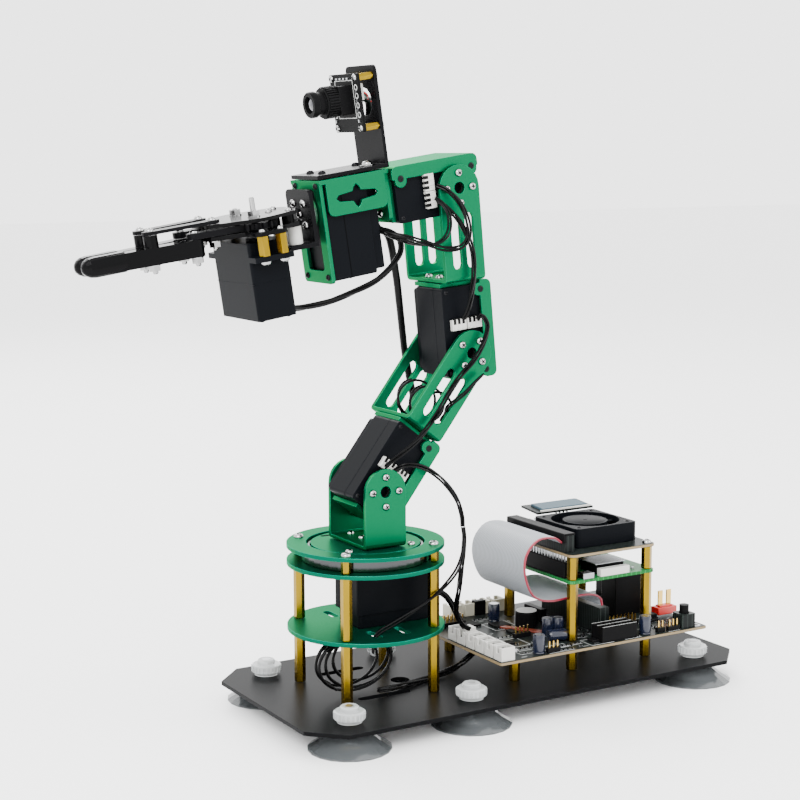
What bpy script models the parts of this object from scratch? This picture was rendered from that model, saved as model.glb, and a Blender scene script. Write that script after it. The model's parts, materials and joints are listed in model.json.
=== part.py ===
"""Desktop robot arm: a six-servo arm on a turning tower, with its electronics on one base plate.

Lengths in this file are millimetres and become metres in the helpers. +Z is up, the hand points along -X
and the electronics stand at +X. The origin is the centre of the footprint, on the surface it stands on.
"""

import bpy
import bmesh
from math import atan2, cos, pi, radians, sin, sqrt
from mathutils import Matrix, Vector
from mathutils.geometry import convex_hull_2d, interpolate_bezier

MM = 0.001
GAP = 0.3                    # clearance between pieces that touch

# Whole arm
TOWER_X = -27.03             # tower axis, from the centre of the footprint
ARM_Y = -1.6                 # middle plane of the arm
SHEET = 2.0                  # bent aluminium sheet

# Base plate and feet
PLATE_TOP = 12.7
PLATE_X0, PLATE_X1, PLATE_HALF_Y, PLATE_CHAMFER = -60.0, 203.0, 61.8, 16.0
FOOT_X, FOOT_Y, CUP_RADIUS, FOOT_NECK = (-34.7, 34.9, 177.3), (-44.8, 44.8), 20.5, 4.2

# Tower
DECK_RADIUS, POST_OFFSET, POST_FLATS, STUD_RADIUS = 40.0, 25.0, 5.0, 1.5
SPACER_FLATS = 4.6           # between the bearing deck and the cover ring
SERVO_DECK_TOP, BEARING_DECK_TOP, RING_TOP = 46.4, 80.1, 88.8
RING_BORE, TABLE_RADIUS = 30.0, 27.75
RACE_OUTER, RACE_GAP_OUT, RACE_GAP_IN, RACE_BORE = 32.4, 29.6, 28.9, 25.2
TABLE_UNDER = 86.3

# Servo: shaft along Y, the long way along Z
SERVO_HALF_WIDTH, SERVO_HALF_DEPTH, SERVO_LID = 12.35, 14.7, 5.4
SERVO_BELOW, SERVO_ABOVE, LID_INSET = 11.4, 33.8, 1.6
HORN_RADIUS, HORN_THICK = 8.6, 1.7

# Links
SHOULDER_Z = 117.1
LINK = 82.85                 # shaft to shaft
EAR_RADIUS, U_HALF = 11.5, 19.2
U_BASE = 36.2                # underside of a long bracket, above the shaft below it
REST_SHOULDER, REST_ELBOW, REST_WRIST = 37.5, -42.8, -93.2    # each from the link before it, degrees
WEB_INNER, FLANGE_HALF = 13.6, 16.8

# Hand, along the roll axis from the wrist shaft
ROLL_FACE = 72.4             # front of the roll servo
PALM_UNDER, GEAR_UNDER, COVER_UNDER = -3.6, -1.2, 2.3
DRIVE_PIVOT, IDLER_PIVOT = (108.5, 10.0), (129.0, 7.5)
FINGER_REAR, FINGER_FRONT, FINGER_TIP = (139.0, 8.0), (159.5, 5.5), 194.0
GEAR_TEETH, GEAR_OUTER, GEAR_ROOT = 16, 10.6, 8.9

# Electronics
COLUMN_X, COLUMN_Y = (106.4, 155.4), (-31.5, 26.5)
CONTROL_UNDER, COMPUTER_UNDER, COOLING_UNDER, BOARD = 26.7, 59.5, 73.6, 1.6
CONTROL_X, CONTROL_Y = (52.0, 186.0), (-45.8, 46.0)
COMPUTER_X, COMPUTER_Y, COOLING_Y = (102.9, 158.9), (-35.0, 50.0), (-35.0, 30.0)
FAN_CENTRE, FAN_SIDE, FAN_HEIGHT = (134.0, -5.0), 40.0, 10.2
BUTTON_PLACE = (175.0, -40.0)
RIBBON_Y, RIBBON_THICK = (-27.6, 22.4), 1.0


# ---------------------------------------------------------------- helpers

def clear_scene():
    for thing in list(bpy.data.objects):
        bpy.data.objects.remove(thing, do_unlink=True)


def material(name, colour, roughness, metallic=0.0):
    made = bpy.data.materials.new(name)
    made.use_nodes = True
    shader = made.node_tree.nodes["Principled BSDF"]
    shader.inputs["Base Color"].default_value = (*colour, 1.0)
    shader.inputs["Roughness"].default_value = roughness
    shader.inputs["Metallic"].default_value = metallic
    return made


def pivot(name, parent=None, place=(0, 0, 0), turn=(0, 0, 0)):
    """An empty that carries the pieces of one moving body."""
    empty = bpy.data.objects.new(name, None)
    bpy.context.scene.collection.objects.link(empty)
    empty.parent = parent
    empty.location = Vector(place) * MM
    empty.rotation_euler = turn
    return empty


def mesh_of(bm):
    bmesh.ops.recalc_face_normals(bm, faces=bm.faces)
    if bm.calc_volume(signed=True) < 0:
        bmesh.ops.reverse_faces(bm, faces=bm.faces)
    mesh = bpy.data.meshes.new("shape")
    bm.to_mesh(mesh)
    bm.free()
    return mesh


def box(x, y, z):
    """A block between two limits on each axis."""
    bm = bmesh.new()
    bmesh.ops.create_cube(bm, size=1.0)
    for vert in bm.verts:
        for axis, limits in enumerate((x, y, z)):
            vert.co[axis] = (limits[0] if vert.co[axis] < 0 else limits[1]) * MM
    return mesh_of(bm)


def prism(outline, low, high, holes=(), axis="Z"):
    """A flat outline with holes, thickened. On axis Z it is (x, y), on Y it is (x, z), on X it is (y, z)."""
    bm = bmesh.new()
    edges = []
    for loop in (outline, *holes):
        verts = [bm.verts.new((a * MM, b * MM, low * MM)) for a, b in loop]
        edges += [bm.edges.new((verts[i - 1], verts[i])) for i in range(len(verts))]
    bmesh.ops.triangle_fill(bm, use_beauty=True, edges=edges, normal=(0, 0, 1))
    grown = bmesh.ops.extrude_face_region(bm, geom=bm.faces[:])
    top = [item for item in grown["geom"] if isinstance(item, bmesh.types.BMVert)]
    bmesh.ops.translate(bm, verts=top, vec=(0, 0, (high - low) * MM))
    order = {"Z": (0, 1, 2), "Y": (0, 2, 1), "X": (2, 0, 1)}[axis]
    for vert in bm.verts:
        vert.co = Vector([vert.co[i] for i in order])
    return mesh_of(bm)


def circle(centre, radius, steps=24, start=0.0):
    return [(centre[0] + radius * cos(start + 2 * pi * i / steps),
             centre[1] + radius * sin(start + 2 * pi * i / steps)) for i in range(steps)]


def hexagon(centre, flats):
    return circle(centre, flats / sqrt(3), 6, pi / 6)


def slot(a, b, width, steps=4):
    """A slot with round ends from a to b."""
    along = atan2(b[1] - a[1], b[0] - a[0])
    points = []
    for end, turn in ((b, along - pi / 2), (a, along + pi / 2)):
        for i in range(steps + 1):
            angle = turn + pi * i / steps
            points.append((end[0] + width / 2 * cos(angle), end[1] + width / 2 * sin(angle)))
    return points


def hull(*circles, steps=16):
    """The outline stretched round some circles, each (x, y, radius)."""
    points = [p for x, y, r in circles for p in circle((x, y), r, steps)]
    return [points[i] for i in convex_hull_2d([Vector(p) for p in points])]


def rounded(x, y, radius):
    """A rectangle with round corners."""
    corners = [(a, b, radius) for a in (x[0] + radius, x[1] - radius) for b in (y[0] + radius, y[1] - radius)]
    return hull(*corners, steps=12)


def round_bar(centre, radius, low, high, axis="Z", steps=24):
    return prism(circle(centre, radius, steps), low, high, axis=axis)


def turned(profile, centre=(0, 0), steps=40):
    """A solid of revolution about a vertical axis. The profile runs from axis to axis as (radius, z)."""
    bm = bmesh.new()
    rings = []
    for radius, z in profile:
        if radius == 0:
            rings.append([bm.verts.new((centre[0] * MM, centre[1] * MM, z * MM))])
        else:
            rings.append([bm.verts.new((x * MM, y * MM, z * MM)) for x, y in circle(centre, radius, steps)])
    for low, high in zip(rings, rings[1:]):
        for i in range(steps):
            j = (i + 1) % steps
            quad = [low[i % len(low)], low[j % len(low)], high[j % len(high)], high[i % len(high)]]
            bm.faces.new(list(dict.fromkeys(quad)))
    return mesh_of(bm)


def combined(meshes, operation):
    """One mesh from several by exact Booleans, the first being the one that is added to or cut."""
    base = bpy.data.objects.new("base", meshes[0])
    bpy.context.scene.collection.objects.link(base)
    helpers = [base]
    for mesh in meshes[1:]:
        helper = bpy.data.objects.new("helper", mesh)
        bpy.context.scene.collection.objects.link(helper)
        helpers.append(helper)
        step = base.modifiers.new("step", "BOOLEAN")
        step.operation = operation
        step.solver = "EXACT"
        step.object = helper
    bpy.context.view_layer.update()
    graph = bpy.context.evaluated_depsgraph_get()
    result = bpy.data.meshes.new_from_object(base.evaluated_get(graph))
    for helper in helpers:
        bpy.data.objects.remove(helper, do_unlink=True)
    return result


def union(*meshes):
    return combined(meshes, "UNION")


def cut(mesh, *cutters):
    return combined((mesh, *cutters), "DIFFERENCE")


def node(name, mesh, finish, parent, smooth=True):
    """A named piece, placed under its body's empty."""
    mesh.name = name
    mesh.materials.clear()
    mesh.materials.append(finish)
    made = bpy.data.objects.new(name, mesh)
    bpy.context.scene.collection.objects.link(made)
    made.parent = parent
    if smooth:
        mesh.shade_smooth()
        mesh.set_sharp_from_angle(angle=radians(35))
    return made


def route(points, spacing):
    """Points read at even spacing from a smooth curve through the route's own points."""
    path = [Vector(p) for p in points]
    ends = [path[0] * 2 - path[1], *path, path[-1] * 2 - path[-2]]
    fine = []
    for a, b, c, d in zip(ends, ends[1:], ends[2:], ends[3:]):
        fine += interpolate_bezier(b, b + (c - a) / 6, c - (d - b) / 6, c, 12)[:-1]
    fine.append(path[-1])
    kept = [fine[0]]
    travelled = 0.0
    for before, after in zip(fine, fine[1:]):
        travelled += (after - before).length
        if travelled >= spacing:
            kept.append(after)
            travelled = 0.0
    kept[-1] = fine[-1]
    return kept


def lead(name, points, diameter, finish, parent):
    """A round lead along a smooth route through its points."""
    curve = bpy.data.curves.new(name, "CURVE")
    curve.dimensions = "3D"
    curve.bevel_depth = diameter / 2 * MM
    curve.bevel_resolution = 2
    curve.use_fill_caps = True
    places = route(points, diameter * 2.5)
    spline = curve.splines.new("POLY")
    spline.points.add(len(places) - 1)
    for point, place in zip(spline.points, places):
        point.co = (*(place * MM), 1.0)
    curve.materials.append(finish)
    made = bpy.data.objects.new(name, curve)
    bpy.context.scene.collection.objects.link(made)
    made.parent = parent
    return made


# ---------------------------------------------------------------- base and tower

def base_plate():
    x0, x1, y, c = PLATE_X0, PLATE_X1, PLATE_HALF_Y, PLATE_CHAMFER
    outline = [(x0 + c, -y), (x1 - c, -y), (x1, -y + c), (x1, y - c),
               (x1 - c, y), (x0 + c, y), (x0, y - c), (x0, -y + c)]
    holes = [circle((fx, fy), FOOT_NECK + 0.4, 12) for fx in FOOT_X for fy in FOOT_Y]
    holes += [slot((-12, -17.5), (13, -17.5), 5), slot((-10, 29), (12, 29), 5)]
    holes.append(circle((20, 0), 5, 20))
    return prism(outline, PLATE_TOP - SHEET, PLATE_TOP, holes)


def suction_foot(place):
    """Cup under the plate, neck through it, and a hand nut with a raised boss on top of it."""
    under, over = PLATE_TOP - SHEET - GAP, PLATE_TOP + GAP
    profile = [(0, 3.2), (15, 1.6), (18.9, 0.0), (CUP_RADIUS, 0.0), (CUP_RADIUS, 0.7), (15, 4.0), (6.6, under),
               (FOOT_NECK, under), (FOOT_NECK, over), (6.2, over), (6.2, 14.4), (7.5, 14.7), (7.5, 18.2), (6.9, 18.7),
               (4.6, 18.7), (4.6, 20.4), (4.1, 20.9), (0, 20.9)]
    return turned(profile, place, 20)


def post_places():
    return [(x, y) for x in (-POST_OFFSET, POST_OFFSET) for y in (-POST_OFFSET, POST_OFFSET)]


def tower_post(place):
    """Two hexagonal posts and a spacer in line, screwed together by a stud through both decks."""
    lower = prism(hexagon(place, POST_FLATS), PLATE_TOP + GAP, SERVO_DECK_TOP - SHEET - GAP)
    upper = prism(hexagon(place, POST_FLATS), SERVO_DECK_TOP + GAP, BEARING_DECK_TOP - SHEET - GAP)
    spacer = prism(hexagon(place, SPACER_FLATS), BEARING_DECK_TOP + GAP, RING_TOP - SHEET - GAP)
    stud = round_bar(place, STUD_RADIUS, PLATE_TOP + 5, RING_TOP - SHEET - 2, steps=8)
    return union(lower, upper, spacer, stud)


def servo_deck():
    holes = [circle(p, STUD_RADIUS + 0.4, 8) for p in post_places()]
    holes += [slot((x, side * 18), (x, side * 27), 4) for x in (-8, 8) for side in (-1, 1)]
    return prism(circle((0, 0), DECK_RADIUS, 48), SERVO_DECK_TOP - SHEET, SERVO_DECK_TOP, holes)


def bearing_deck():
    holes = [circle((0, 0), 11.5, 24), *[circle(p, STUD_RADIUS + 0.4, 8) for p in post_places()]]
    return prism(circle((0, 0), DECK_RADIUS, 48), BEARING_DECK_TOP - SHEET, BEARING_DECK_TOP, holes)


def race(outer, inner, low, high):
    return prism(circle((0, 0), outer, 40), low, high, [circle((0, 0), inner, 40)])


def turntable_disc():
    disc = round_bar((0, 0), TABLE_RADIUS, TABLE_UNDER, TABLE_UNDER + SHEET, steps=44)
    hub = round_bar((0, 0), HORN_RADIUS, BEARING_DECK_TOP - SHEET, TABLE_UNDER + 1, steps=20)
    return union(disc, hub)


def base_servo():
    """The servo that turns the table, its shaft up on the tower axis."""
    top = BEARING_DECK_TOP - SHEET - GAP
    seam = top - 2 * SERVO_HALF_DEPTH + SERVO_LID
    x, y = (-SERVO_BELOW, SERVO_ABOVE), (-SERVO_HALF_WIDTH, SERVO_HALF_WIDTH)
    case = prism(rounded(x, y, 1.5), seam, top)
    inner_x, inner_y = (x[0] + LID_INSET, x[1] - LID_INSET), (y[0] + LID_INSET, y[1] - LID_INSET)
    lid = prism(rounded(inner_x, inner_y, 1.5), SERVO_DECK_TOP + GAP, seam + 1)
    return union(case, lid)


def build_base(root, finish):
    node("base_plate", base_plate(), finish["black plate"], root)
    for i, place in enumerate((x, y) for x in FOOT_X for y in FOOT_Y):
        node(f"suction_foot_{i + 1}", suction_foot(place), finish["clear plastic"], root)
    for i, place in enumerate(post_places()):
        node(f"tower_post_{i + 1}", tower_post(place), finish["brass"], root)
    node("servo_deck", servo_deck(), finish["green"], root)
    node("bearing_deck", bearing_deck(), finish["green"], root)
    cover = prism(circle((0, 0), DECK_RADIUS, 48), RING_TOP - SHEET, RING_TOP, [circle((0, 0), RING_BORE, 48)])
    node("cover_ring", cover, finish["green"], root)
    outer = race(RACE_OUTER, RACE_GAP_OUT, BEARING_DECK_TOP + GAP, RING_TOP - SHEET - GAP)
    node("bearing_outer_race", outer, finish["steel"], root)
    node("servo_1", base_servo(), finish["black plastic"], root)


# ---------------------------------------------------------------- arm links

def servo_case():
    """Main case at -Y, narrower lid at +Y; the shaft is the Y axis."""
    x, z = (-SERVO_HALF_WIDTH, SERVO_HALF_WIDTH), (-SERVO_BELOW, SERVO_ABOVE)
    seam = SERVO_HALF_DEPTH - SERVO_LID
    case = prism(rounded(x, z, 1.5), -SERVO_HALF_DEPTH, seam, axis="Y")
    inner_x, inner_z = (x[0] + LID_INSET, x[1] - LID_INSET), (z[0] + LID_INSET, z[1] - LID_INSET)
    lid = prism(rounded(inner_x, inner_z, 1.5), seam - 1, SERVO_HALF_DEPTH, axis="Y")
    return union(case, lid)


def servo_bracket():
    """Channel at the servo's +X side: a web, side flanges with screw lobes, and two end flanges."""
    top = (U_BASE - GAP - SHEET, U_BASE - GAP)
    bottom = (-SERVO_BELOW - GAP - SHEET, -SERVO_BELOW - GAP)
    web_outer = WEB_INNER + SHEET
    web = box((WEB_INNER, web_outer), (-FLANGE_HALF, FLANGE_HALF), (bottom[0], top[1]))
    shapes = [web, box((-EAR_RADIUS, web_outer), (-12, 12), top), box((-6, web_outer), (-12, 12), bottom)]
    strip = hull((9.9, bottom[0] + 0.7, 0.7), (9.9, top[1] - 0.7, 0.7), (web_outer - 2, bottom[0] + 2, 2),
                 (web_outer - 2, top[1] - 2, 2))
    for low, high in ((-FLANGE_HALF, -15.0), (15.0, FLANGE_HALF)):
        shapes.append(prism(strip, low, high, axis="Y"))
        for z in (31.2, -9.8):
            shapes.append(prism(hull((8.3, z, 3.2), (12, z, 3.2)), low, high, axis="Y"))
    corners = [outer_corner(web_outer, top[1], 1), outer_corner(web_outer, bottom[0], -1)]
    return cut(union(*shapes), *corners)


def outer_corner(x, z, way, radius=3.0):
    """What a bend takes off a square corner at (x, z); way is +1 for a top corner and -1 for a bottom one."""
    arc = [(x - radius + radius * cos(a), z - way * (radius - radius * sin(a)))
           for a in (0, pi / 8, pi / 4, 3 * pi / 8, pi / 2)]
    return prism([*arc, (x - radius, z + way), (x + 1, z + way), (x + 1, z - way * radius)], -20, 20, axis="Y")


def u_section(base, top):
    """Section of a U bracket across its width, (y, z), with bent corners."""
    outer, inner = 2.6, 0.8
    points = [(-U_HALF, top)]
    bend = (0, pi / 6, pi / 3, pi / 2)
    points += [(-U_HALF + outer - outer * cos(a), base + outer - outer * sin(a)) for a in bend]
    points += [(U_HALF - outer + outer * sin(a), base + outer - outer * cos(a)) for a in bend]
    points += [(U_HALF, top), (U_HALF - SHEET, top), (U_HALF - SHEET, base + SHEET + inner),
               (U_HALF - SHEET - inner, base + SHEET), (-U_HALF + SHEET + inner, base + SHEET),
               (-U_HALF + SHEET, base + SHEET + inner), (-U_HALF + SHEET, top)]
    return points


def u_bracket(base, shaft, slots):
    """U bracket from its base up to the shaft it carries, both as heights; its ears are round about the shaft."""
    width = EAR_RADIUS
    ear = hull((0, shaft, width), (width - 1, base + 1, 1), (-width + 1, base + 1, 1), steps=24)
    holes = [circle((0, shaft), 3.0, 14)]
    holes += [circle((7.4 * cos(a), shaft + 7.4 * sin(a)), 1.3, 6) for a in (0, pi / 2, pi, 3 * pi / 2)]
    holes += slots
    sheet = prism(u_section(base, shaft + width + 1), -width - 1, width + 1, axis="X")
    shape = combined((sheet, prism(ear, -U_HALF - 1, U_HALF + 1, holes, axis="Y")), "INTERSECT")
    return cut(shape, round_bar((0, 0), 4.0, base - 1, base + SHEET + 1, steps=12))


def long_bracket():
    slots = [slot((x, U_BASE + 9), (x, U_BASE + 31.7), 5.2) for x in (-4.1, 4.1)]
    return u_bracket(U_BASE, LINK, slots)


def horn():
    """Round drive horn between a servo's lid and the far ear."""
    return round_bar((0, 0), HORN_RADIUS, SERVO_HALF_DEPTH + GAP, SERVO_HALF_DEPTH + GAP + HORN_THICK, "Y", 20)


def moved(mesh, offset):
    mesh.transform(Matrix.Translation(Vector(offset) * MM))
    return mesh


def build_turntable(table, finish):
    node("turntable_disc", turntable_disc(), finish["green"], table)
    inner = race(RACE_GAP_IN, RACE_BORE, BEARING_DECK_TOP + 0.6, TABLE_UNDER - GAP)
    node("bearing_inner_race", inner, finish["steel"], table)
    base = TABLE_UNDER + SHEET + GAP
    bracket = moved(u_bracket(base, SHOULDER_Z, []), (0, ARM_Y, 0))
    node("shoulder_bracket", bracket, finish["green"], table)
    node("shoulder_horn", moved(horn(), (0, ARM_Y, SHOULDER_Z)), finish["steel"], table)


def build_link(body, servo, bracket_name, horn_name, finish):
    """A servo in its channel with a long bracket on it; the body's empty is on the servo's shaft."""
    node(servo, servo_case(), finish["black plastic"], body)
    node(servo + "_bracket", servo_bracket(), finish["green"], body)
    node(bracket_name, long_bracket(), finish["green"], body)
    node(horn_name, moved(horn(), (0, 0, LINK)), finish["steel"], body)


# ---------------------------------------------------------------- wrist and camera

def roll_servo():
    """Servo with its shaft forward along Z and its long way down along -X."""
    x, y = (-SERVO_ABOVE, SERVO_BELOW), (-SERVO_HALF_WIDTH, SERVO_HALF_WIDTH)
    back = ROLL_FACE - 2 * SERVO_HALF_DEPTH
    case = prism(rounded(x, y, 1.5), back + SERVO_LID, ROLL_FACE)
    inner_x, inner_y = (x[0] + LID_INSET, x[1] - LID_INSET), (y[0] + LID_INSET, y[1] - LID_INSET)
    return union(case, prism(rounded(inner_x, inner_y, 1.5), back, back + SERVO_LID + 1))


def star_hole(centre, reach_x, reach_z):
    """A four-armed star with round arms, longer along the servo than across it."""
    waist = 1.6
    points = []
    for arm in range(4):
        angle = arm * pi / 2
        reach = reach_z if arm % 2 else reach_x
        for turn in (-0.5, 0.0, 0.5):
            out = reach - waist + waist * cos(turn * pi)
            side = waist * sin(turn * pi)
            points.append((out * cos(angle) - side * sin(angle), out * sin(angle) + side * cos(angle)))
        points.append((3.4 * cos(angle + pi / 4), 3.4 * sin(angle + pi / 4)))
    return [(centre[0] + a, centre[1] + b) for a, b in points]


def box_bracket():
    """Top sheet with a windowed front, a back and two starred sides folded down; X is up, Z is forward."""
    back = (U_BASE + GAP, U_BASE + GAP + SHEET)
    front = (ROLL_FACE + GAP, ROLL_FACE + GAP + 1.8)
    top = (13.2, 15.2)
    shapes = [box(top, (-15, 15), (back[0], front[1]))]
    window = rounded((-28.5, 11.0), (-8.0, 8.0), 2)
    shapes.append(prism(rounded((-34.6, top[1]), (-14, 14), 2), *front, holes=[window]))
    shapes.append(prism(rounded((-9.8, top[1]), (-14, 14), 2), *back))
    side = rounded((-2.6, top[1]), (38.8, 71.4), 3)
    star = star_hole((5.4, 55.1), 5.8, 11.6)
    for low, high in ((-15, -13.2), (13.2, 15)):
        shapes.append(prism(side, low, high, [star], axis="Y"))
    return union(*shapes)


def camera_mast():
    """Black sheet: a foot on the box bracket and a mast folded up from its back edge, with a hole for the lead."""
    foot_x = (15.5 + GAP, 17.6)
    mast_z = (U_BASE - 1.4, U_BASE + 0.4)
    foot = box(foot_x, (-13.6, 13.6), (mast_z[0], ROLL_FACE + 2))
    mast = prism(rounded((foot_x[0], 65), (-13.6, 13.6), 2.5), *mast_z, holes=[rounded((41, 54.5), (-8, 8), 6)])
    return union(foot, mast)


def camera_module():
    """Square board with its lens: mount block, knurled focus ring and barrel."""
    board_z = (44.5, 46.1)
    lens = (50.0, 0.0)
    board = prism(rounded((34.2, 62.2), (-13.6, 13.6), 1), *board_z)
    block = prism(rounded((lens[0] - 7, lens[0] + 7), (-7, 7), 1), board_z[0] + 0.5, 53)
    ring = round_bar(lens, 7.2, 52.5, 59.5, steps=24)
    barrel = round_bar(lens, 5.6, 59, 66.5, steps=24)
    bore = round_bar(lens, 4.2, 64.5, 68, steps=16)
    return cut(union(board, block, ring, barrel), bore)


def build_wrist(wrist, finish):
    node("servo_4", servo_case(), finish["black plastic"], wrist)
    node("servo_4_bracket", servo_bracket(), finish["green"], wrist)
    node("servo_5_bracket", box_bracket(), finish["green"], wrist)
    node("servo_5", roll_servo(), finish["black plastic"], wrist)
    node("camera_mast", camera_mast(), finish["black sheet"], wrist)
    node("camera_module", camera_module(), finish["black plastic"], wrist)


# ---------------------------------------------------------------- hand
# In the hand's frame X is up, Z is forward and the left side is -Y.

def gripper_mount():
    """L plate on the roll horn, with two white spacers that carry the palm."""
    plate_z = (ROLL_FACE + 5.2, ROLL_FACE + 7.2)
    plate = prism(rounded((-15.2, 11.8), (-12.2, 12.2), 3), *plate_z)
    flange = box((-15.2, -13.2), (-12.2, 12.2), (plate_z[0], 92.5))
    spacers = [prism(circle((y, 87.6), 3.4, 16), -13.6, PALM_UNDER - GAP, axis="X") for y in (-7.5, 7.5)]
    return union(plate, flange, *spacers)


def palm_outline():
    return hull((-8, 90, 6.5), (8, 90, 6.5), (-10, 108.5, 11), (10, 108.5, 11),
                (-IDLER_PIVOT[1], IDLER_PIVOT[0], 4.2), (IDLER_PIVOT[1], IDLER_PIVOT[0], 4.2))


def palm_frame():
    """Two black plates with the gears between them, joined by spacers at the rear."""
    shaft = circle((-DRIVE_PIVOT[1], DRIVE_PIVOT[0]), 3.8, 16)
    under = prism(palm_outline(), PALM_UNDER, PALM_UNDER + SHEET, [shaft], axis="X")
    wings = []
    for side in (-1, 1):
        outline = hull((side * 25, 103.5, 3.6), (side * 25, 113.5, 3.6),
                       (side * 19, 103.5, 4.6), (side * 19, 113.5, 4.6))
        wings.append(prism(outline, PALM_UNDER, PALM_UNDER + SHEET, axis="X"))
    pins = [circle((side * DRIVE_PIVOT[1], DRIVE_PIVOT[0]), 1.9, 12) for side in (-1, 1)]
    cover = prism(palm_outline(), COVER_UNDER, COVER_UNDER + 1.7, pins, axis="X")
    spacers = [prism(circle((side * 7.5, 90), 3, 14), PALM_UNDER + 1, COVER_UNDER + 1, axis="X") for side in (-1, 1)]
    return union(under, *wings, cover, *spacers)


def gripper_servo():
    """Upright servo with a flange at each end; its shaft is under the left gear."""
    z = (DRIVE_PIVOT[0] - 10, DRIVE_PIVOT[0] + 10)
    case = prism(rounded((-20, 20), z, 1.2), -43.6, -7.0, axis="X")
    flange = prism(rounded((-27, 27), z, 1.2), -15.6, -13.1, axis="X")
    boss = prism(circle((-DRIVE_PIVOT[1], DRIVE_PIVOT[0]), 5.5, 20), -7.5, -5.4, axis="X")
    return union(case, flange, boss)


def gear(phase):
    """Gear outline about its own centre, with tapered teeth that leave room to roll."""
    points = []
    pitch = 2 * pi / GEAR_TEETH
    for i in range(GEAR_TEETH):
        middle = phase + i * pitch
        for radius, half in ((GEAR_ROOT, 0.30), (GEAR_OUTER, 0.13)):
            points.append((radius, middle - half * pitch))
        for radius, half in ((GEAR_OUTER, 0.13), (GEAR_ROOT, 0.30)):
            points.append((radius, middle + half * pitch))
    return [(r * cos(a), r * sin(a)) for r, a in points]


def geared_link(side):
    """Gear and arm in one plate, its own pivot at the origin, reaching forward to the finger's rear pivot."""
    reach = (side * (FINGER_REAR[1] - DRIVE_PIVOT[1]), FINGER_REAR[0] - DRIVE_PIVOT[0])
    low, high = GEAR_UNDER, GEAR_UNDER + 2.8
    phase = 0.0 if side < 0 else pi / GEAR_TEETH
    wheel = prism(gear(phase), low, high, axis="X")
    arm = prism(hull((0, 0, 6), (*reach, 3.6)), low, high, axis="X")
    pin = prism(circle((0, 0), 1.5, 12), high - 1, COVER_UNDER + 4.5, axis="X")
    shapes = [wheel, arm, pin]
    if side < 0:
        shapes.append(prism(circle((0, 0), 3.2, 16), PALM_UNDER - 1.4, low + 1, axis="X"))
    return union(*shapes)


def idler_link(side):
    """Flat bar above the palm, from its pivot at the origin to the finger's front pivot."""
    reach = (side * (FINGER_FRONT[1] - IDLER_PIVOT[1]), FINGER_FRONT[0] - IDLER_PIVOT[0])
    low = COVER_UNDER + 1.7 + GAP
    return prism(hull((0, 0, 3.6), (*reach, 3.6)), low, low + 1.6, axis="X")


def domed_sleeve(low, high, half_x, half_y, squareness=3.2, steps=20):
    """Rounded-square sleeve about the Z axis that closes in a dome at its high end."""
    dome = high - 6.0
    levels = [(low, 0.92), (low + 0.7, 1.0), (dome, 1.0)]
    levels += [(dome + (high - dome) * sin(a), cos(a)) for a in (pi / 8, pi / 4, 0.36 * pi, 0.44 * pi)]
    bm = bmesh.new()
    rings = []
    for z, scale in levels:
        ring = []
        for a in (2 * pi * (i + 0.5) / steps for i in range(steps)):
            reach = (abs(cos(a) / half_x) ** squareness + abs(sin(a) / half_y) ** squareness) ** (-1 / squareness)
            ring.append(bm.verts.new((reach * scale * cos(a) * MM, reach * scale * sin(a) * MM, z * MM)))
        rings.append(ring)
    for below, above in zip(rings, rings[1:]):
        for i in range(steps):
            bm.faces.new((below[i - 1], below[i], above[i], above[i - 1]))
    bm.faces.new(rings[0][::-1])
    bm.faces.new(rings[-1])
    return mesh_of(bm)


def finger(side):
    """Long bar with a domed sleeve at its tip and a boss under its front pivot; origin on the rear pivot."""
    def across(y):
        return side * y - side * FINGER_REAR[1]

    def ahead(z):
        return z - FINGER_REAR[0]

    inner = 0.2
    top, bottom = GEAR_UNDER - GAP, -9.4
    bar = hull((across(inner + 4.2), ahead(FINGER_TIP - 12), 3.2), (across(inner + 3.6), ahead(157), 3.2),
               (across(FINGER_REAR[1]), 0, 3.8), (across(FINGER_FRONT[1]), ahead(FINGER_FRONT[0]), 4.0))
    sleeve = domed_sleeve(ahead(173), ahead(FINGER_TIP), 4.75, 4.2)
    boss = circle((across(FINGER_FRONT[1]), ahead(FINGER_FRONT[0])), 3.4, 18)
    shapes = [prism(bar, bottom, top, axis="X"), moved(sleeve, ((bottom + top) / 2, across(inner + 4.2), 0)),
              prism(boss, top - 1, COVER_UNDER + 1.7, axis="X")]
    return union(*shapes)


def build_hand(hand, finish):
    horn_z = (ROLL_FACE + 2.7, ROLL_FACE + 4.9)
    shape = union(round_bar((0, 0), 10, *horn_z), round_bar((0, 0), 4, ROLL_FACE + GAP, horn_z[0] + 1, steps=16))
    node("roll_horn", shape, finish["steel"], hand)
    node("gripper_mount", gripper_mount(), finish["black sheet"], hand)
    node("palm_frame", palm_frame(), finish["black sheet"], hand)
    node("servo_6", gripper_servo(), finish["black plastic"], hand)
    for side, word, link in ((-1, "left", "drive_link"), (1, "right", "driven_link")):
        drive = pivot(link + "_pivot", hand, (0, side * DRIVE_PIVOT[1], DRIVE_PIVOT[0]))
        node(link, geared_link(side), finish["black sheet"], drive)
        idler = pivot(f"idler_{word}_pivot", hand, (0, side * IDLER_PIVOT[1], IDLER_PIVOT[0]))
        node(f"idler_link_{word}", idler_link(side), finish["black sheet"], idler)
        place = (0, side * (FINGER_REAR[1] - DRIVE_PIVOT[1]), FINGER_REAR[0] - DRIVE_PIVOT[0])
        node(f"finger_{word}", finger(side), finish["black plastic"], pivot(f"finger_{word}_pivot", drive, place))


# ---------------------------------------------------------------- electronics

def column_places():
    return [(x, y) for y in COLUMN_Y for x in COLUMN_X]


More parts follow.
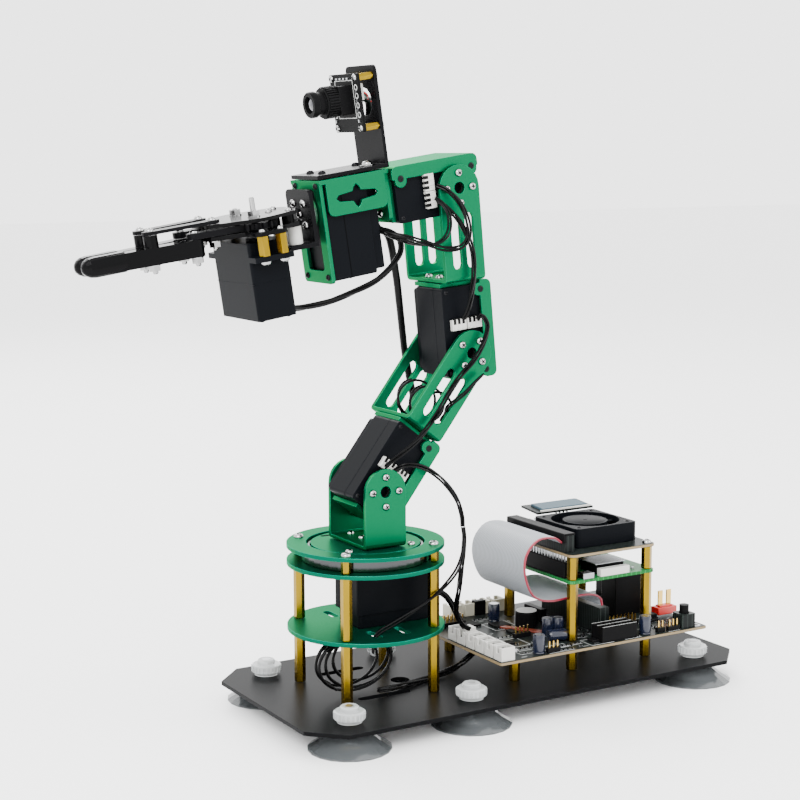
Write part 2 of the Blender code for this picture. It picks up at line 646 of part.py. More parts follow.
def stack_column(place):
    """Brass posts in line through the boards, joined by studs."""
    stages = ((PLATE_TOP + GAP, CONTROL_UNDER - GAP), (CONTROL_UNDER + BOARD + GAP, COMPUTER_UNDER - GAP),
              (COMPUTER_UNDER + BOARD + GAP, COOLING_UNDER - GAP))
    posts = [prism(hexagon(place, POST_FLATS), low, high) for low, high in stages]
    stud = round_bar(place, 1.2, PLATE_TOP + 3, COOLING_UNDER - 2, steps=6)
    return union(*posts, stud)


def board(x, y, under, holes, radius=1.6):
    return prism(rounded(x, y, radius), under, under + BOARD, [circle(p, 1.6, 8) for p in holes])


def control_board():
    """Main board with the ribbon socket and the push switch's hollow body."""
    top = CONTROL_UNDER + BOARD
    plate = board(CONTROL_X, CONTROL_Y, CONTROL_UNDER, column_places())
    socket = box((126.4, 132.6), (-29, 24), (top - 0.5, 42.3))
    x, y = BUTTON_PLACE
    switch = prism(rounded((x - 4.5, x + 4.5), (y - 4.5, y + 4.5), 0.8), top - 0.5, top + 7.5)
    return cut(union(plate, socket, switch), round_bar(BUTTON_PLACE, 3.0, top + 3, top + 9, steps=20))


def computer_board():
    """Single-board computer with three metal port shells at its far end."""
    top = COMPUTER_UNDER + BOARD
    shapes = [board(COMPUTER_X, COMPUTER_Y, COMPUTER_UNDER, column_places(), 3.0)]
    for x0, x1 in ((104.5, 119.5), (122.5, 137.5), (140.5, 156.5)):
        shapes.append(box((x0, x1), (33, 52), (top - 0.5, top + 14)))
    return union(*shapes)


def cooling_board():
    """Board over the computer with the ribbon socket along its -X side."""
    top = COOLING_UNDER + BOARD
    plate = prism(rounded(COMPUTER_X, COOLING_Y, 3.0), COOLING_UNDER, top)
    return union(plate, box((103.2, 109.2), (-29, 24), (top - 0.5, top + 9)))


def fan_frame():
    x, y = FAN_CENTRE
    low = COOLING_UNDER + BOARD + GAP
    half = FAN_SIDE / 2
    outline = rounded((x - half, x + half), (y - half, y + half), 2.5)
    corners = [circle((x + a, y + b), 1.7, 8) for a in (-16, 16) for b in (-16, 16)]
    floor = prism(outline, low, low + 1.2, corners)
    wall = prism(outline, low + 0.6, low + FAN_HEIGHT, [circle((x, y), 18.6, 28), *corners])
    return union(floor, wall)


def fan_rotor():
    """Hub with seven tilted blades, about its own axis."""
    low, high = 1.9, FAN_HEIGHT - 0.4
    hub = round_bar((0, 0), 12.2, low, high, steps=21)
    shapes = [hub]
    for i in range(7):
        blade = box((11.5, 17.8), (-0.7, 0.7), (low + 0.6, high - 1.2))
        middle = Matrix.Translation((0, 0, (low + high) / 2 * MM))
        tilt = middle @ Matrix.Rotation(radians(38), 4, "X") @ middle.inverted()
        blade.transform(Matrix.Rotation(2 * pi * i / 7, 4, "Z") @ tilt)
        shapes.append(blade)
    return union(*shapes)


def ribbon_cable():
    """Forty-way ribbon from the cooling board's socket round to the control board's."""
    middle = route([(102.4, 0, 80.6), (97.5, 0, 83.6), (87.5, 0, 83.6), (80.2, 0, 76.5), (79.4, 0, 66.0),
                    (84.6, 0, 54.6), (95.0, 0, 50.2), (111.0, 0, 50.6), (122.0, 0, 50.2), (128.2, 0, 47.4),
                    (129.5, 0, 43.2)], 3.4)
    sides = ([], [])
    for i, point in enumerate(middle):
        along = (middle[min(i + 1, len(middle) - 1)] - middle[max(i - 1, 0)]).normalized()
        across = Vector((-along.z, 0, along.x)) * RIBBON_THICK / 2
        sides[0].append(((point + across).x, (point + across).z))
        sides[1].append(((point - across).x, (point - across).z))
    return prism(sides[0] + sides[1][::-1], *RIBBON_Y, axis="Y")


def build_electronics(root, finish):
    for i, place in enumerate(column_places()):
        node(f"stack_column_{i + 1}", stack_column(place), finish["brass"], root)
    node("control_board", control_board(), finish["black board"], root)
    node("computer_board", computer_board(), finish["green board"], root)
    node("cooling_board", cooling_board(), finish["black board"], root)
    node("fan_frame", fan_frame(), finish["black plastic"], root)
    rotor = pivot("fan_pivot", root, (*FAN_CENTRE, COOLING_UNDER + BOARD + GAP))
    node("fan_rotor", fan_rotor(), finish["black plastic"], rotor)
    node("ribbon_cable", ribbon_cable(), finish["grey ribbon"], root)
    top = CONTROL_UNDER + BOARD
    button = pivot("button_pivot", root, (*BUTTON_PLACE, top))
    node("power_button", round_bar((0, 0), 2.6, 5.0, 12.0, steps=20), finish["white plastic"], button)


# ---------------------------------------------------------------- leads

LEADS = {
    "base_lead": [(43.4, -23.5, 95.0), (44.0, -23.5, 89.0), (44.0, -22.5, 78.0), (43.5, -20.5, 66.0),
                  (44.5, -16.0, 54.0), (47.5, -12.0, 45.0), (52.0, -10.5, 39.5), (56.4, -10.0, 37.0)],
    "shoulder_lead": [(8.6, -21.6, 129.0), (14.0, -23.2, 129.6), (22.0, -24.0, 127.0), (31.0, -24.0, 120.5),
                      (38.5, -24.0, 111.0), (42.4, -23.8, 101.5), (43.3, -23.5, 95.6)],
    "elbow_lead": [(1.8, -21.6, 131.5), (8.0, -23.8, 136.5), (17.0, -25.0, 143.5), (26.0, -25.0, 153.0),
                   (33.0, -25.0, 163.0), (40.5, -25.2, 172.0), (48.5, -25.4, 180.0), (54.5, -25.2, 188.5),
                   (57.5, -24.4, 196.5), (55.6, -21.6, 201.8)],
    "wrist_lead": [(47.0, -21.6, 204.0), (48.0, -23.6, 212.0), (49.0, -24.6, 222.0), (48.0, -25.0, 233.0),
                   (44.0, -25.0, 243.0), (39.0, -25.0, 250.5), (34.0, -24.0, 255.5), (29.4, -21.6, 259.5)],
    "hand_lead": [(-48.2, -14.0, 209.8), (-41.0, -13.6, 209.6), (-29.0, -13.0, 211.4), (-15.0, -12.6, 215.0),
                  (-2.0, -12.4, 220.0), (8.0, -12.2, 226.6), (14.0, -12.0, 234.0), (13.6, -11.4, 240.6),
                  (8.6, -10.6, 244.2), (3.0, -10.0, 245.2)],
}


def build_leads(root, finish):
    for name, points in LEADS.items():
        lead(name, points, 3.0, finish["black lead"], root)


# ---------------------------------------------------------------- assembly

def finishes():
    return {
        "green": material("green anodised aluminium", (0.01, 0.36, 0.17), 0.32, 0.75),
        "black plate": material("black base plate", (0.012, 0.012, 0.014), 0.25),
        "black sheet": material("black anodised sheet", (0.012, 0.012, 0.014), 0.35, 0.4),
        "black plastic": material("black plastic", (0.014, 0.015, 0.018), 0.5),
        "clear plastic": material("clear plastic", (0.75, 0.77, 0.78), 0.2),
        "white plastic": material("white plastic", (0.85, 0.85, 0.83), 0.4),
        "brass": material("brass", (0.72, 0.50, 0.16), 0.3, 1.0),
        "steel": material("steel", (0.6, 0.61, 0.62), 0.3, 1.0),
        "black board": material("black circuit board", (0.01, 0.012, 0.013), 0.4),
        "green board": material("green circuit board", (0.02, 0.22, 0.08), 0.4),
        "grey ribbon": material("grey ribbon", (0.45, 0.46, 0.48), 0.5),
        "black lead": material("black lead", (0.01, 0.01, 0.011), 0.45),
    }


def main():
    clear_scene()
    finish = finishes()
    root = pivot("tower_axis", None, (TOWER_X, 0, 0))
    build_base(root, finish)
    build_electronics(root, finish)
    build_leads(root, finish)
    table = pivot("turntable_pivot", root)
    build_turntable(table, finish)
    upper_arm = pivot("shoulder_pivot", table, (0, ARM_Y, SHOULDER_Z), (0, radians(REST_SHOULDER), 0))
    build_link(upper_arm, "servo_2", "elbow_bracket", "elbow_horn", finish)
    forearm = pivot("elbow_pivot", upper_arm, (0, 0, LINK), (0, radians(REST_ELBOW), 0))
    build_link(forearm, "servo_3", "wrist_bracket", "wrist_horn", finish)
    wrist = pivot("wrist_pivot", forearm, (0, 0, LINK), (0, radians(REST_WRIST), 0))
    build_wrist(wrist, finish)
    build_hand(pivot("roll_pivot", wrist), finish)


main()
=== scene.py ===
"""The looks of the desktop robot arm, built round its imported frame.

Lengths are millimetres and become metres in the helpers. A piece is drawn in the tower's frame, with x
from the tower axis and z from the floor, or in the frame of the shoulder, the upper arm, the forearm or
the wrist. In those Z runs along the link, X is its +X side and Y points away from the viewer. The hand
shares the wrist's frame.
"""

import json
import random
from math import cos, pi, radians, sin, sqrt

import bmesh
import bpy
from mathutils import Matrix, Vector
from mathutils.geometry import convex_hull_2d, interpolate_bezier


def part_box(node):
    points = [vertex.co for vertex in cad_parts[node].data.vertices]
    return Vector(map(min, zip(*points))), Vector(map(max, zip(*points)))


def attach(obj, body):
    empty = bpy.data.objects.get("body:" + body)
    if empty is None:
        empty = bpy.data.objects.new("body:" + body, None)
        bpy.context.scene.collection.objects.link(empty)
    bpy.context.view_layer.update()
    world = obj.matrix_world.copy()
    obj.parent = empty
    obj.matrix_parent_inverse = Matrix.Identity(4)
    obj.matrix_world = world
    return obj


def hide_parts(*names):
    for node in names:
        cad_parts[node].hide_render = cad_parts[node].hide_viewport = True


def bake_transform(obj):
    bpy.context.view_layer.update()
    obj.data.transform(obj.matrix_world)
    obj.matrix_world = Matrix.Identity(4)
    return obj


MM = 0.001

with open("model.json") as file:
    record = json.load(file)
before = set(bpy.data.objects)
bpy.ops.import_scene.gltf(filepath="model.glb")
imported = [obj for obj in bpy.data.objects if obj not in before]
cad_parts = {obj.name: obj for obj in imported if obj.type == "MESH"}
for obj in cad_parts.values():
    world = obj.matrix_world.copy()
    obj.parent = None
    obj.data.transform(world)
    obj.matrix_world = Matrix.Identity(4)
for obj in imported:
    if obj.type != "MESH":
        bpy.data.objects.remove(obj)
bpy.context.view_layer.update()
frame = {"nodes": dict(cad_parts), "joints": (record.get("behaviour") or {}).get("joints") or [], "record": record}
joints = {joint["name"]: joint for joint in frame["joints"]}

# ---------------------------------------------------------------- driving dimensions

SHEET = 2.0
PLATE_TOP = 12.7
RING_TOP = 88.8
POST_OFFSET = 25.0
EAR_FACE = 19.2              # outside of a U bracket, from the arm's middle plane
CASE_FACE = 14.7             # near face of an arm servo
CASE_BELOW, CASE_ABOVE, CASE_HALF = 11.4, 33.8, 12.35
LINK = 82.85
BRACKET_BASE = 36.2
ROLL_FACE = 72.4
BOARD = 1.6
CONTROL_TOP, COMPUTER_TOP, COOLING_TOP = 28.3, 61.1, 75.2
FAN_CENTRE = (134.0, -5.0)
COLUMN_X, COLUMN_Y = (106.4, 155.4), (-31.5, 26.5)
DRIVE_PIVOT, IDLER_PIVOT = (108.5, 10.0), (129.0, 7.5)
FINGER_REAR, FINGER_FRONT = (139.0, 8.0), (159.5, 5.5)
HEAD, SMALL_HEAD, LARGE_HEAD = (1.95, 1.5), (1.7, 1.2), (2.5, 1.9)      # screw heads: radius, height
RIBBON_NEAR, RIBBON_WAYS, RIBBON_PITCH = -27.6, 40, 1.25
WIRE_TWIST = 90.0            # length of one turn of a lead's wires


# ---------------------------------------------------------------- camera, floor and lights

def make_camera():
    place, aim, roll = (-0.44573, -0.7406, 0.2833), (-0.00641, 0.0, 0.15885), radians(-0.207)
    data = bpy.data.cameras.new("camera")
    data.lens, data.sensor_width = 77.5, 36.0
    camera = bpy.data.objects.new("camera", data)
    bpy.context.scene.collection.objects.link(camera)
    look = (Vector(aim) - Vector(place)).to_track_quat("-Z", "Y").to_matrix().to_4x4()
    camera.matrix_world = Matrix.Translation(place) @ look @ Matrix.Rotation(roll, 4, "Z")
    bpy.context.scene.camera = camera


def make_light(name, place, aim, width, power):
    data = bpy.data.lights.new(name, "AREA")
    data.energy, data.shape, data.size, data.size_y = power, "RECTANGLE", width, width * 0.8
    lamp = bpy.data.objects.new(name, data)
    bpy.context.scene.collection.objects.link(lamp)
    look = (Vector(aim) - Vector(place)).to_track_quat("-Z", "Y").to_matrix().to_4x4()
    lamp.matrix_world = Matrix.Translation(place) @ look


def make_stage():
    """A pale floor that runs to the horizon, and soft white light from above, left and right."""
    bm = bmesh.new()
    bmesh.ops.create_grid(bm, x_segments=2, y_segments=2, size=6.0)
    mesh = bpy.data.meshes.new("floor")
    bm.to_mesh(mesh)
    bm.free()
    floor = bpy.data.objects.new("floor", mesh)
    bpy.context.scene.collection.objects.link(floor)
    mesh.materials.append(finish("floor_white", (0.92, 0.92, 0.92), 0.6, grain=2.0, mottle=0.01, relief=0.0,
                                 edge=None))
    world = bpy.data.worlds.new("studio")
    world.use_nodes = True
    world.node_tree.nodes["Background"].inputs["Color"].default_value = (1.0, 1.0, 1.0, 1.0)
    world.node_tree.nodes["Background"].inputs["Strength"].default_value = 3.3
    bpy.context.scene.world = world
    make_light("key", (-0.9, -0.9, 1.1), (0.0, 0.0, 0.12), 0.9, 34)
    make_light("fill", (1.1, -0.9, 0.8), (0.0, 0.0, 0.12), 0.8, 12)
    make_light("back", (0.2, 1.3, 1.2), (0.0, 0.0, 0.15), 0.9, 22)


# ---------------------------------------------------------------- materials

def finish(name, colour, roughness, metallic=0.0, grain=900.0, mottle=0.08, relief=0.04, edge=None,
           stretch=(1, 1, 1), radius=0.35, **more):
    """A material whose colour, roughness and relief vary with noise. edge is the colour of a painted highlight
    along its edges.
    """
    made = bpy.data.materials.new(name)
    made.use_nodes = True
    tree = made.node_tree
    nodes, links = tree.nodes, tree.links
    shader = nodes["Principled BSDF"]
    place = nodes.new("ShaderNodeTexCoord")
    scale = nodes.new("ShaderNodeMapping")
    scale.inputs["Scale"].default_value = stretch
    links.new(place.outputs["Object"], scale.inputs["Vector"])
    noise = nodes.new("ShaderNodeTexNoise")
    noise.inputs["Scale"].default_value = grain
    noise.inputs["Detail"].default_value = 5.0
    links.new(scale.outputs["Vector"], noise.inputs["Vector"])
    tint = nodes.new("ShaderNodeMix")
    tint.data_type = "RGBA"
    tint.inputs["A"].default_value = (*(c * (1 - mottle) for c in colour), 1.0)
    tint.inputs["B"].default_value = (*(min(1.0, c * (1 + mottle)) for c in colour), 1.0)
    links.new(noise.outputs["Fac"], tint.inputs["Factor"])
    shine = nodes.new("ShaderNodeMapRange")
    shine.inputs["To Min"].default_value = max(0.0, roughness * 0.82)
    shine.inputs["To Max"].default_value = min(1.0, roughness * 1.18)
    links.new(noise.outputs["Fac"], shine.inputs["Value"])
    links.new(shine.outputs["Result"], shader.inputs["Roughness"])
    base = tint.outputs["Result"]
    bump = nodes.new("ShaderNodeBump")
    bump.inputs["Strength"].default_value = relief
    bump.inputs["Distance"].default_value = 0.1 * MM
    links.new(noise.outputs["Fac"], bump.inputs["Height"])
    if edge:
        base = with_edges(tree, base, bump, edge, radius)
    links.new(bump.outputs["Normal"], shader.inputs["Normal"])
    links.new(base, shader.inputs["Base Color"])
    shader.inputs["Metallic"].default_value = metallic
    for key, value in more.items():
        shader.inputs[key.replace("_", " ")].default_value = value
    return made


def with_edges(tree, base, bump, edge, radius):
    """Rounds the edges in shading, and paints a highlight on them where the rounded and the true normals part."""
    nodes, links = tree.nodes, tree.links
    soft = nodes.new("ShaderNodeBevel")
    soft.samples = 4
    soft.inputs["Radius"].default_value = radius * MM
    links.new(soft.outputs["Normal"], bump.inputs["Normal"])
    true = nodes.new("ShaderNodeNewGeometry")
    same = nodes.new("ShaderNodeVectorMath")
    same.operation = "DOT_PRODUCT"
    links.new(soft.outputs["Normal"], same.inputs[0])
    links.new(true.outputs["Normal"], same.inputs[1])
    mask = nodes.new("ShaderNodeMapRange")
    mask.inputs["From Min"].default_value = 0.985
    mask.inputs["From Max"].default_value = 0.85
    links.new(same.outputs["Value"], mask.inputs["Value"])
    # this mix paints the highlight colour onto the rounded edges
    edge_highlight = nodes.new("ShaderNodeMix")
    edge_highlight.data_type = "RGBA"
    edge_highlight.inputs["B"].default_value = (*edge, 1.0)
    links.new(mask.outputs["Result"], edge_highlight.inputs["Factor"])
    links.new(base, edge_highlight.inputs["A"])
    return edge_highlight.outputs["Result"]


def make_finishes():
    dull, faint = {"Specular_IOR_Level": 0.03}, {"Specular_IOR_Level": 0.04}
    anodised = {"Specular_Tint": (0.10, 0.75, 0.45, 1.0), "Specular_IOR_Level": 0.3}
    # The edge colour given to a finish is a painted highlight along its rounded edges.
    return {
        "green": finish("green_anodised", (0.0, 0.098, 0.039), 0.38, 0.85, 1500, 0.07, 0.03,
                        (0.005, 0.21, 0.11),
                        **anodised),
        "deck green": finish("green_disc", (0.001, 0.075, 0.043), 0.40, 0.85, 1500, 0.07, 0.03,
                             (0.006, 0.23, 0.16),
                             radius=0.6, **anodised),
        "plate": finish("black_base_plate", (0.0026, 0.0027, 0.003), 0.36, 0.0, 1800, 0.2, 0.05,
                        (0.010, 0.010, 0.011), **dull),
        "sheet": finish("black_anodised", (0.0025, 0.0025, 0.003), 0.26, 0.0, 1500, 0.15, 0.04,
                        (0.012, 0.012, 0.013),
                        **faint),
        "case": finish("servo_case", (0.0018, 0.0022, 0.0031), 0.42, 0.0, 2600, 0.15, 0.14,
                       (0.005, 0.006, 0.008),
                       **dull),
        "finger": finish("finger_black", (0.0015, 0.0015, 0.0017), 0.12, 0.0, 900, 0.1, 0.03,
                         (0.003, 0.003, 0.003),
                         Specular_IOR_Level=0.05),
        "clear": finish("clear_acrylic", (0.62, 0.64, 0.64), 0.14, 0.0, 300, 0.03, 0.0,
                        Transmission_Weight=0.45), "foot": foot_finish(),
        "brass": finish("brass", (0.20, 0.128, 0.007), 0.24, 1.0, 500, 0.26, 0.08, (0.36, 0.23, 0.03),
                        (1, 1, 0.12)),
        "steel": finish("steel", (0.26, 0.27, 0.28), 0.22, 1.0, 900, 0.06, 0.06, (0.4, 0.4, 0.4)),
        "race": finish("bearing_steel", (0.05, 0.052, 0.054), 0.18, 1.0, 300, 0.02, 0.0,
                       (0.12, 0.12, 0.12)),
        "chrome": finish("screw_steel", (0.33, 0.33, 0.33), 0.16, 1.0, 600, 0.05, 0.03),
        "dark steel": finish("black_screw", (0.008, 0.008, 0.009), 0.26, 0.2, 900, 0.1, 0.05, **faint),
        "white": finish("white_nylon", (0.42, 0.415, 0.39), 0.42, 0.0, 500, 0.03, 0.04, (0.55, 0.55, 0.52)),
        "cream": finish("cream_nylon", (0.42, 0.40, 0.32), 0.45, 0.0, 500, 0.04, 0.04),
        "lead": finish("black_lead", (0.0014, 0.0014, 0.0016), 0.28, 0.0, 700, 0.12, 0.05,
                       Specular_IOR_Level=0.08),
        "socket": finish("black_socket", (0.003, 0.003, 0.0032), 0.36, 0.0, 900, 0.1, 0.08,
                         (0.014, 0.014, 0.014),
                         **dull),
        "black board": circuit_board("black_board", (0.003, 0.0042, 0.004), (0.016, 0.021, 0.019)),
        "green board": circuit_board("green_board", (0.006, 0.085, 0.018), (0.02, 0.18, 0.05)),
        "board edge": finish("board_edge", (0.16, 0.115, 0.055), 0.6, 0.0, 700, 0.15, 0.05),
        "gold": finish("gold_pin", (0.58, 0.38, 0.10), 0.22, 1.0, 500, 0.05, 0.03),
        "solder": finish("solder", (0.45, 0.46, 0.47), 0.3, 1.0, 800, 0.08, 0.2),
        "ink": finish("board_ink", (0.42, 0.43, 0.42), 0.6, 0.0, 900, 0.03, 0.02),
        "navy": finish("capacitor_sleeve", (0.004, 0.006, 0.016), 0.2, 0.0, 500, 0.1, 0.03),
        "red": finish("red_plug", (0.36, 0.006, 0.003), 0.35, 0.0, 600, 0.05, 0.04, (0.5, 0.03, 0.02)),
        "rust": finish("orange_mark", (0.13, 0.02, 0.008), 0.4, 0.0, 600, 0.1, 0.04),
        "chip": finish("chip", (0.004, 0.004, 0.0042), 0.5, 0.0, 1800, 0.1, 0.1, (0.018, 0.018, 0.018),
                       **dull),
        "glass": finish("display_glass", (0.045, 0.075, 0.095), 0.2, 0.0, 300, 0.05, 0.0, **dull),
        "lens": finish("lens_glass", (0.004, 0.004, 0.012), 0.03, 0.0, 300, 0.05, 0.0, Coat_Weight=1.0),
        "grey ribbon": ribbon_finish("ribbon_grey", (0.235, 0.25, 0.27)),
        "red ribbon": ribbon_finish("ribbon_red", (0.30, 0.004, 0.03)),
        # near-black painted shade for recesses, slits and openings
        "shadow": finish("painted_shadow", (0.0012, 0.0012, 0.0012), 0.8, 0.0, 700, 0.1, 0.05, **dull),
        "red wire": finish("red_wire", (0.35, 0.008, 0.008), 0.4, 0.0, 600, 0.05, 0.04),
        "green wire": finish("green_wire", (0.008, 0.10, 0.05), 0.4, 0.0, 600, 0.05, 0.04),
        "white wire": finish("white_wire", (0.45, 0.45, 0.43), 0.4, 0.0, 600, 0.05, 0.04),
    }


def foot_finish():
    """Clear suction cup below the plate, darkened with painted shade and a painted reflection of the black plate,
    and clear acrylic above it.
    """
    # this dark base colour is the painted shade and painted reflection on the cup under the plate
    made = finish("clear_foot", (0.115, 0.125, 0.13), 0.13, 0.0, 300, 0.0, 0.0, Transmission_Weight=0.55)
    tree = made.node_tree
    nodes, links = tree.nodes, tree.links
    shader = nodes["Principled BSDF"]
    under = shader.inputs["Base Color"].links[0].from_socket
    place = nodes.new("ShaderNodeTexCoord")
    parts = nodes.new("ShaderNodeSeparateXYZ")
    links.new(place.outputs["Object"], parts.inputs["Vector"])
    above = nodes.new("ShaderNodeMath")
    above.operation = "GREATER_THAN"
    above.inputs[1].default_value = PLATE_TOP * MM
    links.new(parts.outputs["Z"], above.inputs[0])
    both = nodes.new("ShaderNodeMix")
    both.data_type = "RGBA"
    both.inputs["B"].default_value = (0.66, 0.68, 0.68, 1.0)
    links.new(above.outputs["Value"], both.inputs["Factor"])
    links.new(under, both.inputs["A"])
    links.new(both.outputs["Result"], shader.inputs["Base Color"])
    return made


def ribbon_finish(name, colour):
    """Flat cable: painted shade in the groove between each wire and the next, across the cable's width."""
    made = finish(name, colour, 0.4, 0.0, 700, 0.05, 0.04)
    tree = made.node_tree
    nodes, links = tree.nodes, tree.links
    shader = nodes["Principled BSDF"]
    under = shader.inputs["Base Color"].links[0].from_socket
    place = nodes.new("ShaderNodeTexCoord")
    # bands of painted shade along the grooves between the wires
    groove = nodes.new("ShaderNodeTexWave")
    groove.bands_direction = "Y"
    groove.inputs["Scale"].default_value = 2 * pi / (20 * RIBBON_PITCH * MM)
    groove.inputs["Phase Offset"].default_value = -2 * pi * RIBBON_NEAR / RIBBON_PITCH
    links.new(place.outputs["Object"], groove.inputs["Vector"])
    depth = nodes.new("ShaderNodeMapRange")
    depth.inputs["From Max"].default_value = 0.35
    depth.inputs["To Min"].default_value = 0.45
    depth.inputs["To Max"].default_value = 1.0
    links.new(groove.outputs["Fac"], depth.inputs["Value"])
    shade = nodes.new("ShaderNodeMix")
    shade.data_type, shade.blend_type = "RGBA", "MULTIPLY"
    shade.inputs["Factor"].default_value = 1.0
    links.new(under, shade.inputs["A"])
    links.new(depth.outputs["Result"], shade.inputs["B"])
    links.new(shade.outputs["Result"], shader.inputs["Base Color"])
    return made


def circuit_board(name, mask_colour, track_colour):
    """Solder mask with rows of tracks showing faintly through it."""
    made = finish(name, mask_colour, 0.32, 0.0, 700, 0.15, 0.03, Specular_IOR_Level=0.08)
    tree = made.node_tree
    nodes, links = tree.nodes, tree.links
    shader = nodes["Principled BSDF"]
    under = shader.inputs["Base Color"].links[0].from_socket
    place = nodes.new("ShaderNodeTexCoord")
    track = nodes.new("ShaderNodeTexBrick")
    track.inputs["Scale"].default_value = 160.0
    track.inputs["Mortar Size"].default_value = 0.035
    track.inputs["Color1"].default_value = (0, 0, 0, 1)
    track.inputs["Color2"].default_value = (0, 0, 0, 1)
    track.inputs["Mortar"].default_value = (1, 1, 1, 1)
    links.new(place.outputs["Object"], track.inputs["Vector"])
    both = nodes.new("ShaderNodeMix")
    both.data_type = "RGBA"
    both.inputs["B"].default_value = (*track_colour, 1.0)
    links.new(track.outputs["Color"], both.inputs["Factor"])
    links.new(under, both.inputs["A"])
    links.new(both.outputs["Result"], shader.inputs["Base Color"])
    return made


# ---------------------------------------------------------------- frames

def joint_place(name):
    return Vector(joints[name]["pos_m"])


def link_frame(origin, along):
    """The frame of a link: Z along it, Y the arm's own."""
    z = along.normalized()
    y = Vector((0, 1, 0))
    turn = Matrix((y.cross(z), y, z)).transposed().to_4x4()
    return Matrix.Translation(origin) @ turn


UP = Vector((0, 0, 1))
TOWER = Matrix.Translation((joint_place("base_turn").x, 0, 0))
SHOULDER = link_frame(joint_place("shoulder"), UP)
UPPER = link_frame(joint_place("shoulder"), joint_place("elbow") - joint_place("shoulder"))
FORE = link_frame(joint_place("elbow"), joint_place("wrist_pitch") - joint_place("elbow"))
WRIST = link_frame(joint_place("wrist_pitch"), Vector(joints["wrist_roll"]["axis"]))


# ---------------------------------------------------------------- shapes

def mesh_of(bm):
    bmesh.ops.recalc_face_normals(bm, faces=bm.faces)
    mesh = bpy.data.meshes.new("shape")
    bm.to_mesh(mesh)
    bm.free()
    return mesh


def box(x, y, z):
    bm = bmesh.new()
    bmesh.ops.create_cube(bm, size=1.0)
    for vert in bm.verts:
        for axis, limits in enumerate((x, y, z)):
            vert.co[axis] = (limits[0] if vert.co[axis] < 0 else limits[1]) * MM
    return mesh_of(bm)


def block(centre, size):
    return box(*[(c - s / 2, c + s / 2) for c, s in zip(centre, size)])


def circle(centre, radius, steps=24, start=0.0):
    return [(centre[0] + radius * cos(start + 2 * pi * i / steps),
             centre[1] + radius * sin(start + 2 * pi * i / steps)) for i in range(steps)]


def hexagon(centre, flats):
    return circle(centre, flats / sqrt(3), 6, pi / 6)


def hull(*circles, steps=20):
    points = [p for x, y, r in circles for p in circle((x, y), r, steps)]
    return [points[i] for i in convex_hull_2d([Vector(p) for p in points])]


def rounded(x, y, radius):
    return hull(*[(a, b, radius) for a in (x[0] + radius, x[1] - radius)
                  for b in (y[0] + radius, y[1] - radius)])


def prism(outline, low, high, holes=(), axis="Z"):
    """A thickened flat outline with holes: (x, y) on axis Z, (x, z) on Y and (y, z) on X."""
    bm = bmesh.new()
    edges = []
    for loop in (outline, *holes):
        verts = [bm.verts.new((a * MM, b * MM, low * MM)) for a, b in loop]
        edges += [bm.edges.new((verts[i - 1], verts[i])) for i in range(len(verts))]
    if holes:
        bmesh.ops.triangle_fill(bm, use_beauty=True, edges=edges, normal=(0, 0, 1))
    else:
        bm.faces.new(bm.verts[:])
    grown = bmesh.ops.extrude_face_region(bm, geom=bm.faces[:])
    top = [item for item in grown["geom"] if isinstance(item, bmesh.types.BMVert)]
    bmesh.ops.translate(bm, verts=top, vec=(0, 0, (high - low) * MM))
    order = {"Z": (0, 1, 2), "Y": (0, 2, 1), "X": (2, 0, 1)}[axis]
    for vert in bm.verts:
        vert.co = Vector([vert.co[i] for i in order])
    return mesh_of(bm)


def turned(profile, steps=24):
    """A solid of revolution about Z; the profile runs from axis to axis as (radius, z)."""
    bm = bmesh.new()
    rings = []
    for radius, z in profile:
        if radius == 0:
            rings.append([bm.verts.new((0, 0, z * MM))])
        else:
            rings.append([bm.verts.new((x * MM, y * MM, z * MM)) for x, y in circle((0, 0), radius, steps)])
    for low, high in zip(rings, rings[1:]):
        for i in range(steps):
            j = (i + 1) % steps
            quad = [low[i % len(low)], low[j % len(low)], high[j % len(high)], high[i % len(high)]]
            bm.faces.new(list(dict.fromkeys(quad)))
    return mesh_of(bm)


def cut(mesh, *cutters):
    """The mesh with the cutters taken out of it by exact Booleans."""
    things = []
    for shape in (mesh, *cutters):
        thing = bpy.data.objects.new("cut", shape)
        bpy.context.scene.collection.objects.link(thing)
        things.append(thing)
    for cutter in things[1:]:
        step = things[0].modifiers.new("step", "BOOLEAN")
        step.operation, step.solver, step.object = "DIFFERENCE", "EXACT", cutter
    bpy.context.view_layer.update()
    made = bpy.data.meshes.new_from_object(things[0].evaluated_get(bpy.context.evaluated_depsgraph_get()))
    for thing in things:
        bpy.data.objects.remove(thing, do_unlink=True)
    return made


def moved(mesh, offset, turn=None):
    """A copy of the mesh, turned and then moved."""
    made = mesh.copy()
    made.transform(Matrix.Translation(Vector(offset) * MM) @ (turn or Matrix.Identity(4)))
    return made


def facing(direction):
    """The turn that takes +Z to a direction."""
    return Vector(direction).to_track_quat("Z", "Y").to_matrix().to_4x4()


def joined(meshes):
    bm = bmesh.new()
    for mesh in meshes:
        bm.from_mesh(mesh)
    made = bpy.data.meshes.new("shape")
    bm.to_mesh(made)
    bm.free()
    return made


def piece(name, mesh, where, body, material, bevel=0.0):
    """A shown piece that rides on a body. bevel rounds its edges, in millimetres."""
    mesh.transform(where)
    mesh.name = name
    mesh.materials.clear()
    mesh.materials.append(material)
    mesh.shade_smooth()
    mesh.set_sharp_from_angle(angle=radians(35))
    made = bpy.data.objects.new(name, mesh)
    bpy.context.scene.collection.objects.link(made)
    if bevel:
        soft = made.modifiers.new("edges", "BEVEL")
        soft.width, soft.segments, soft.limit_method, soft.angle_limit = bevel * MM, 2, "ANGLE", radians(40)
    if body:
        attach(made, body)
    return made


# ---------------------------------------------------------------- fixings

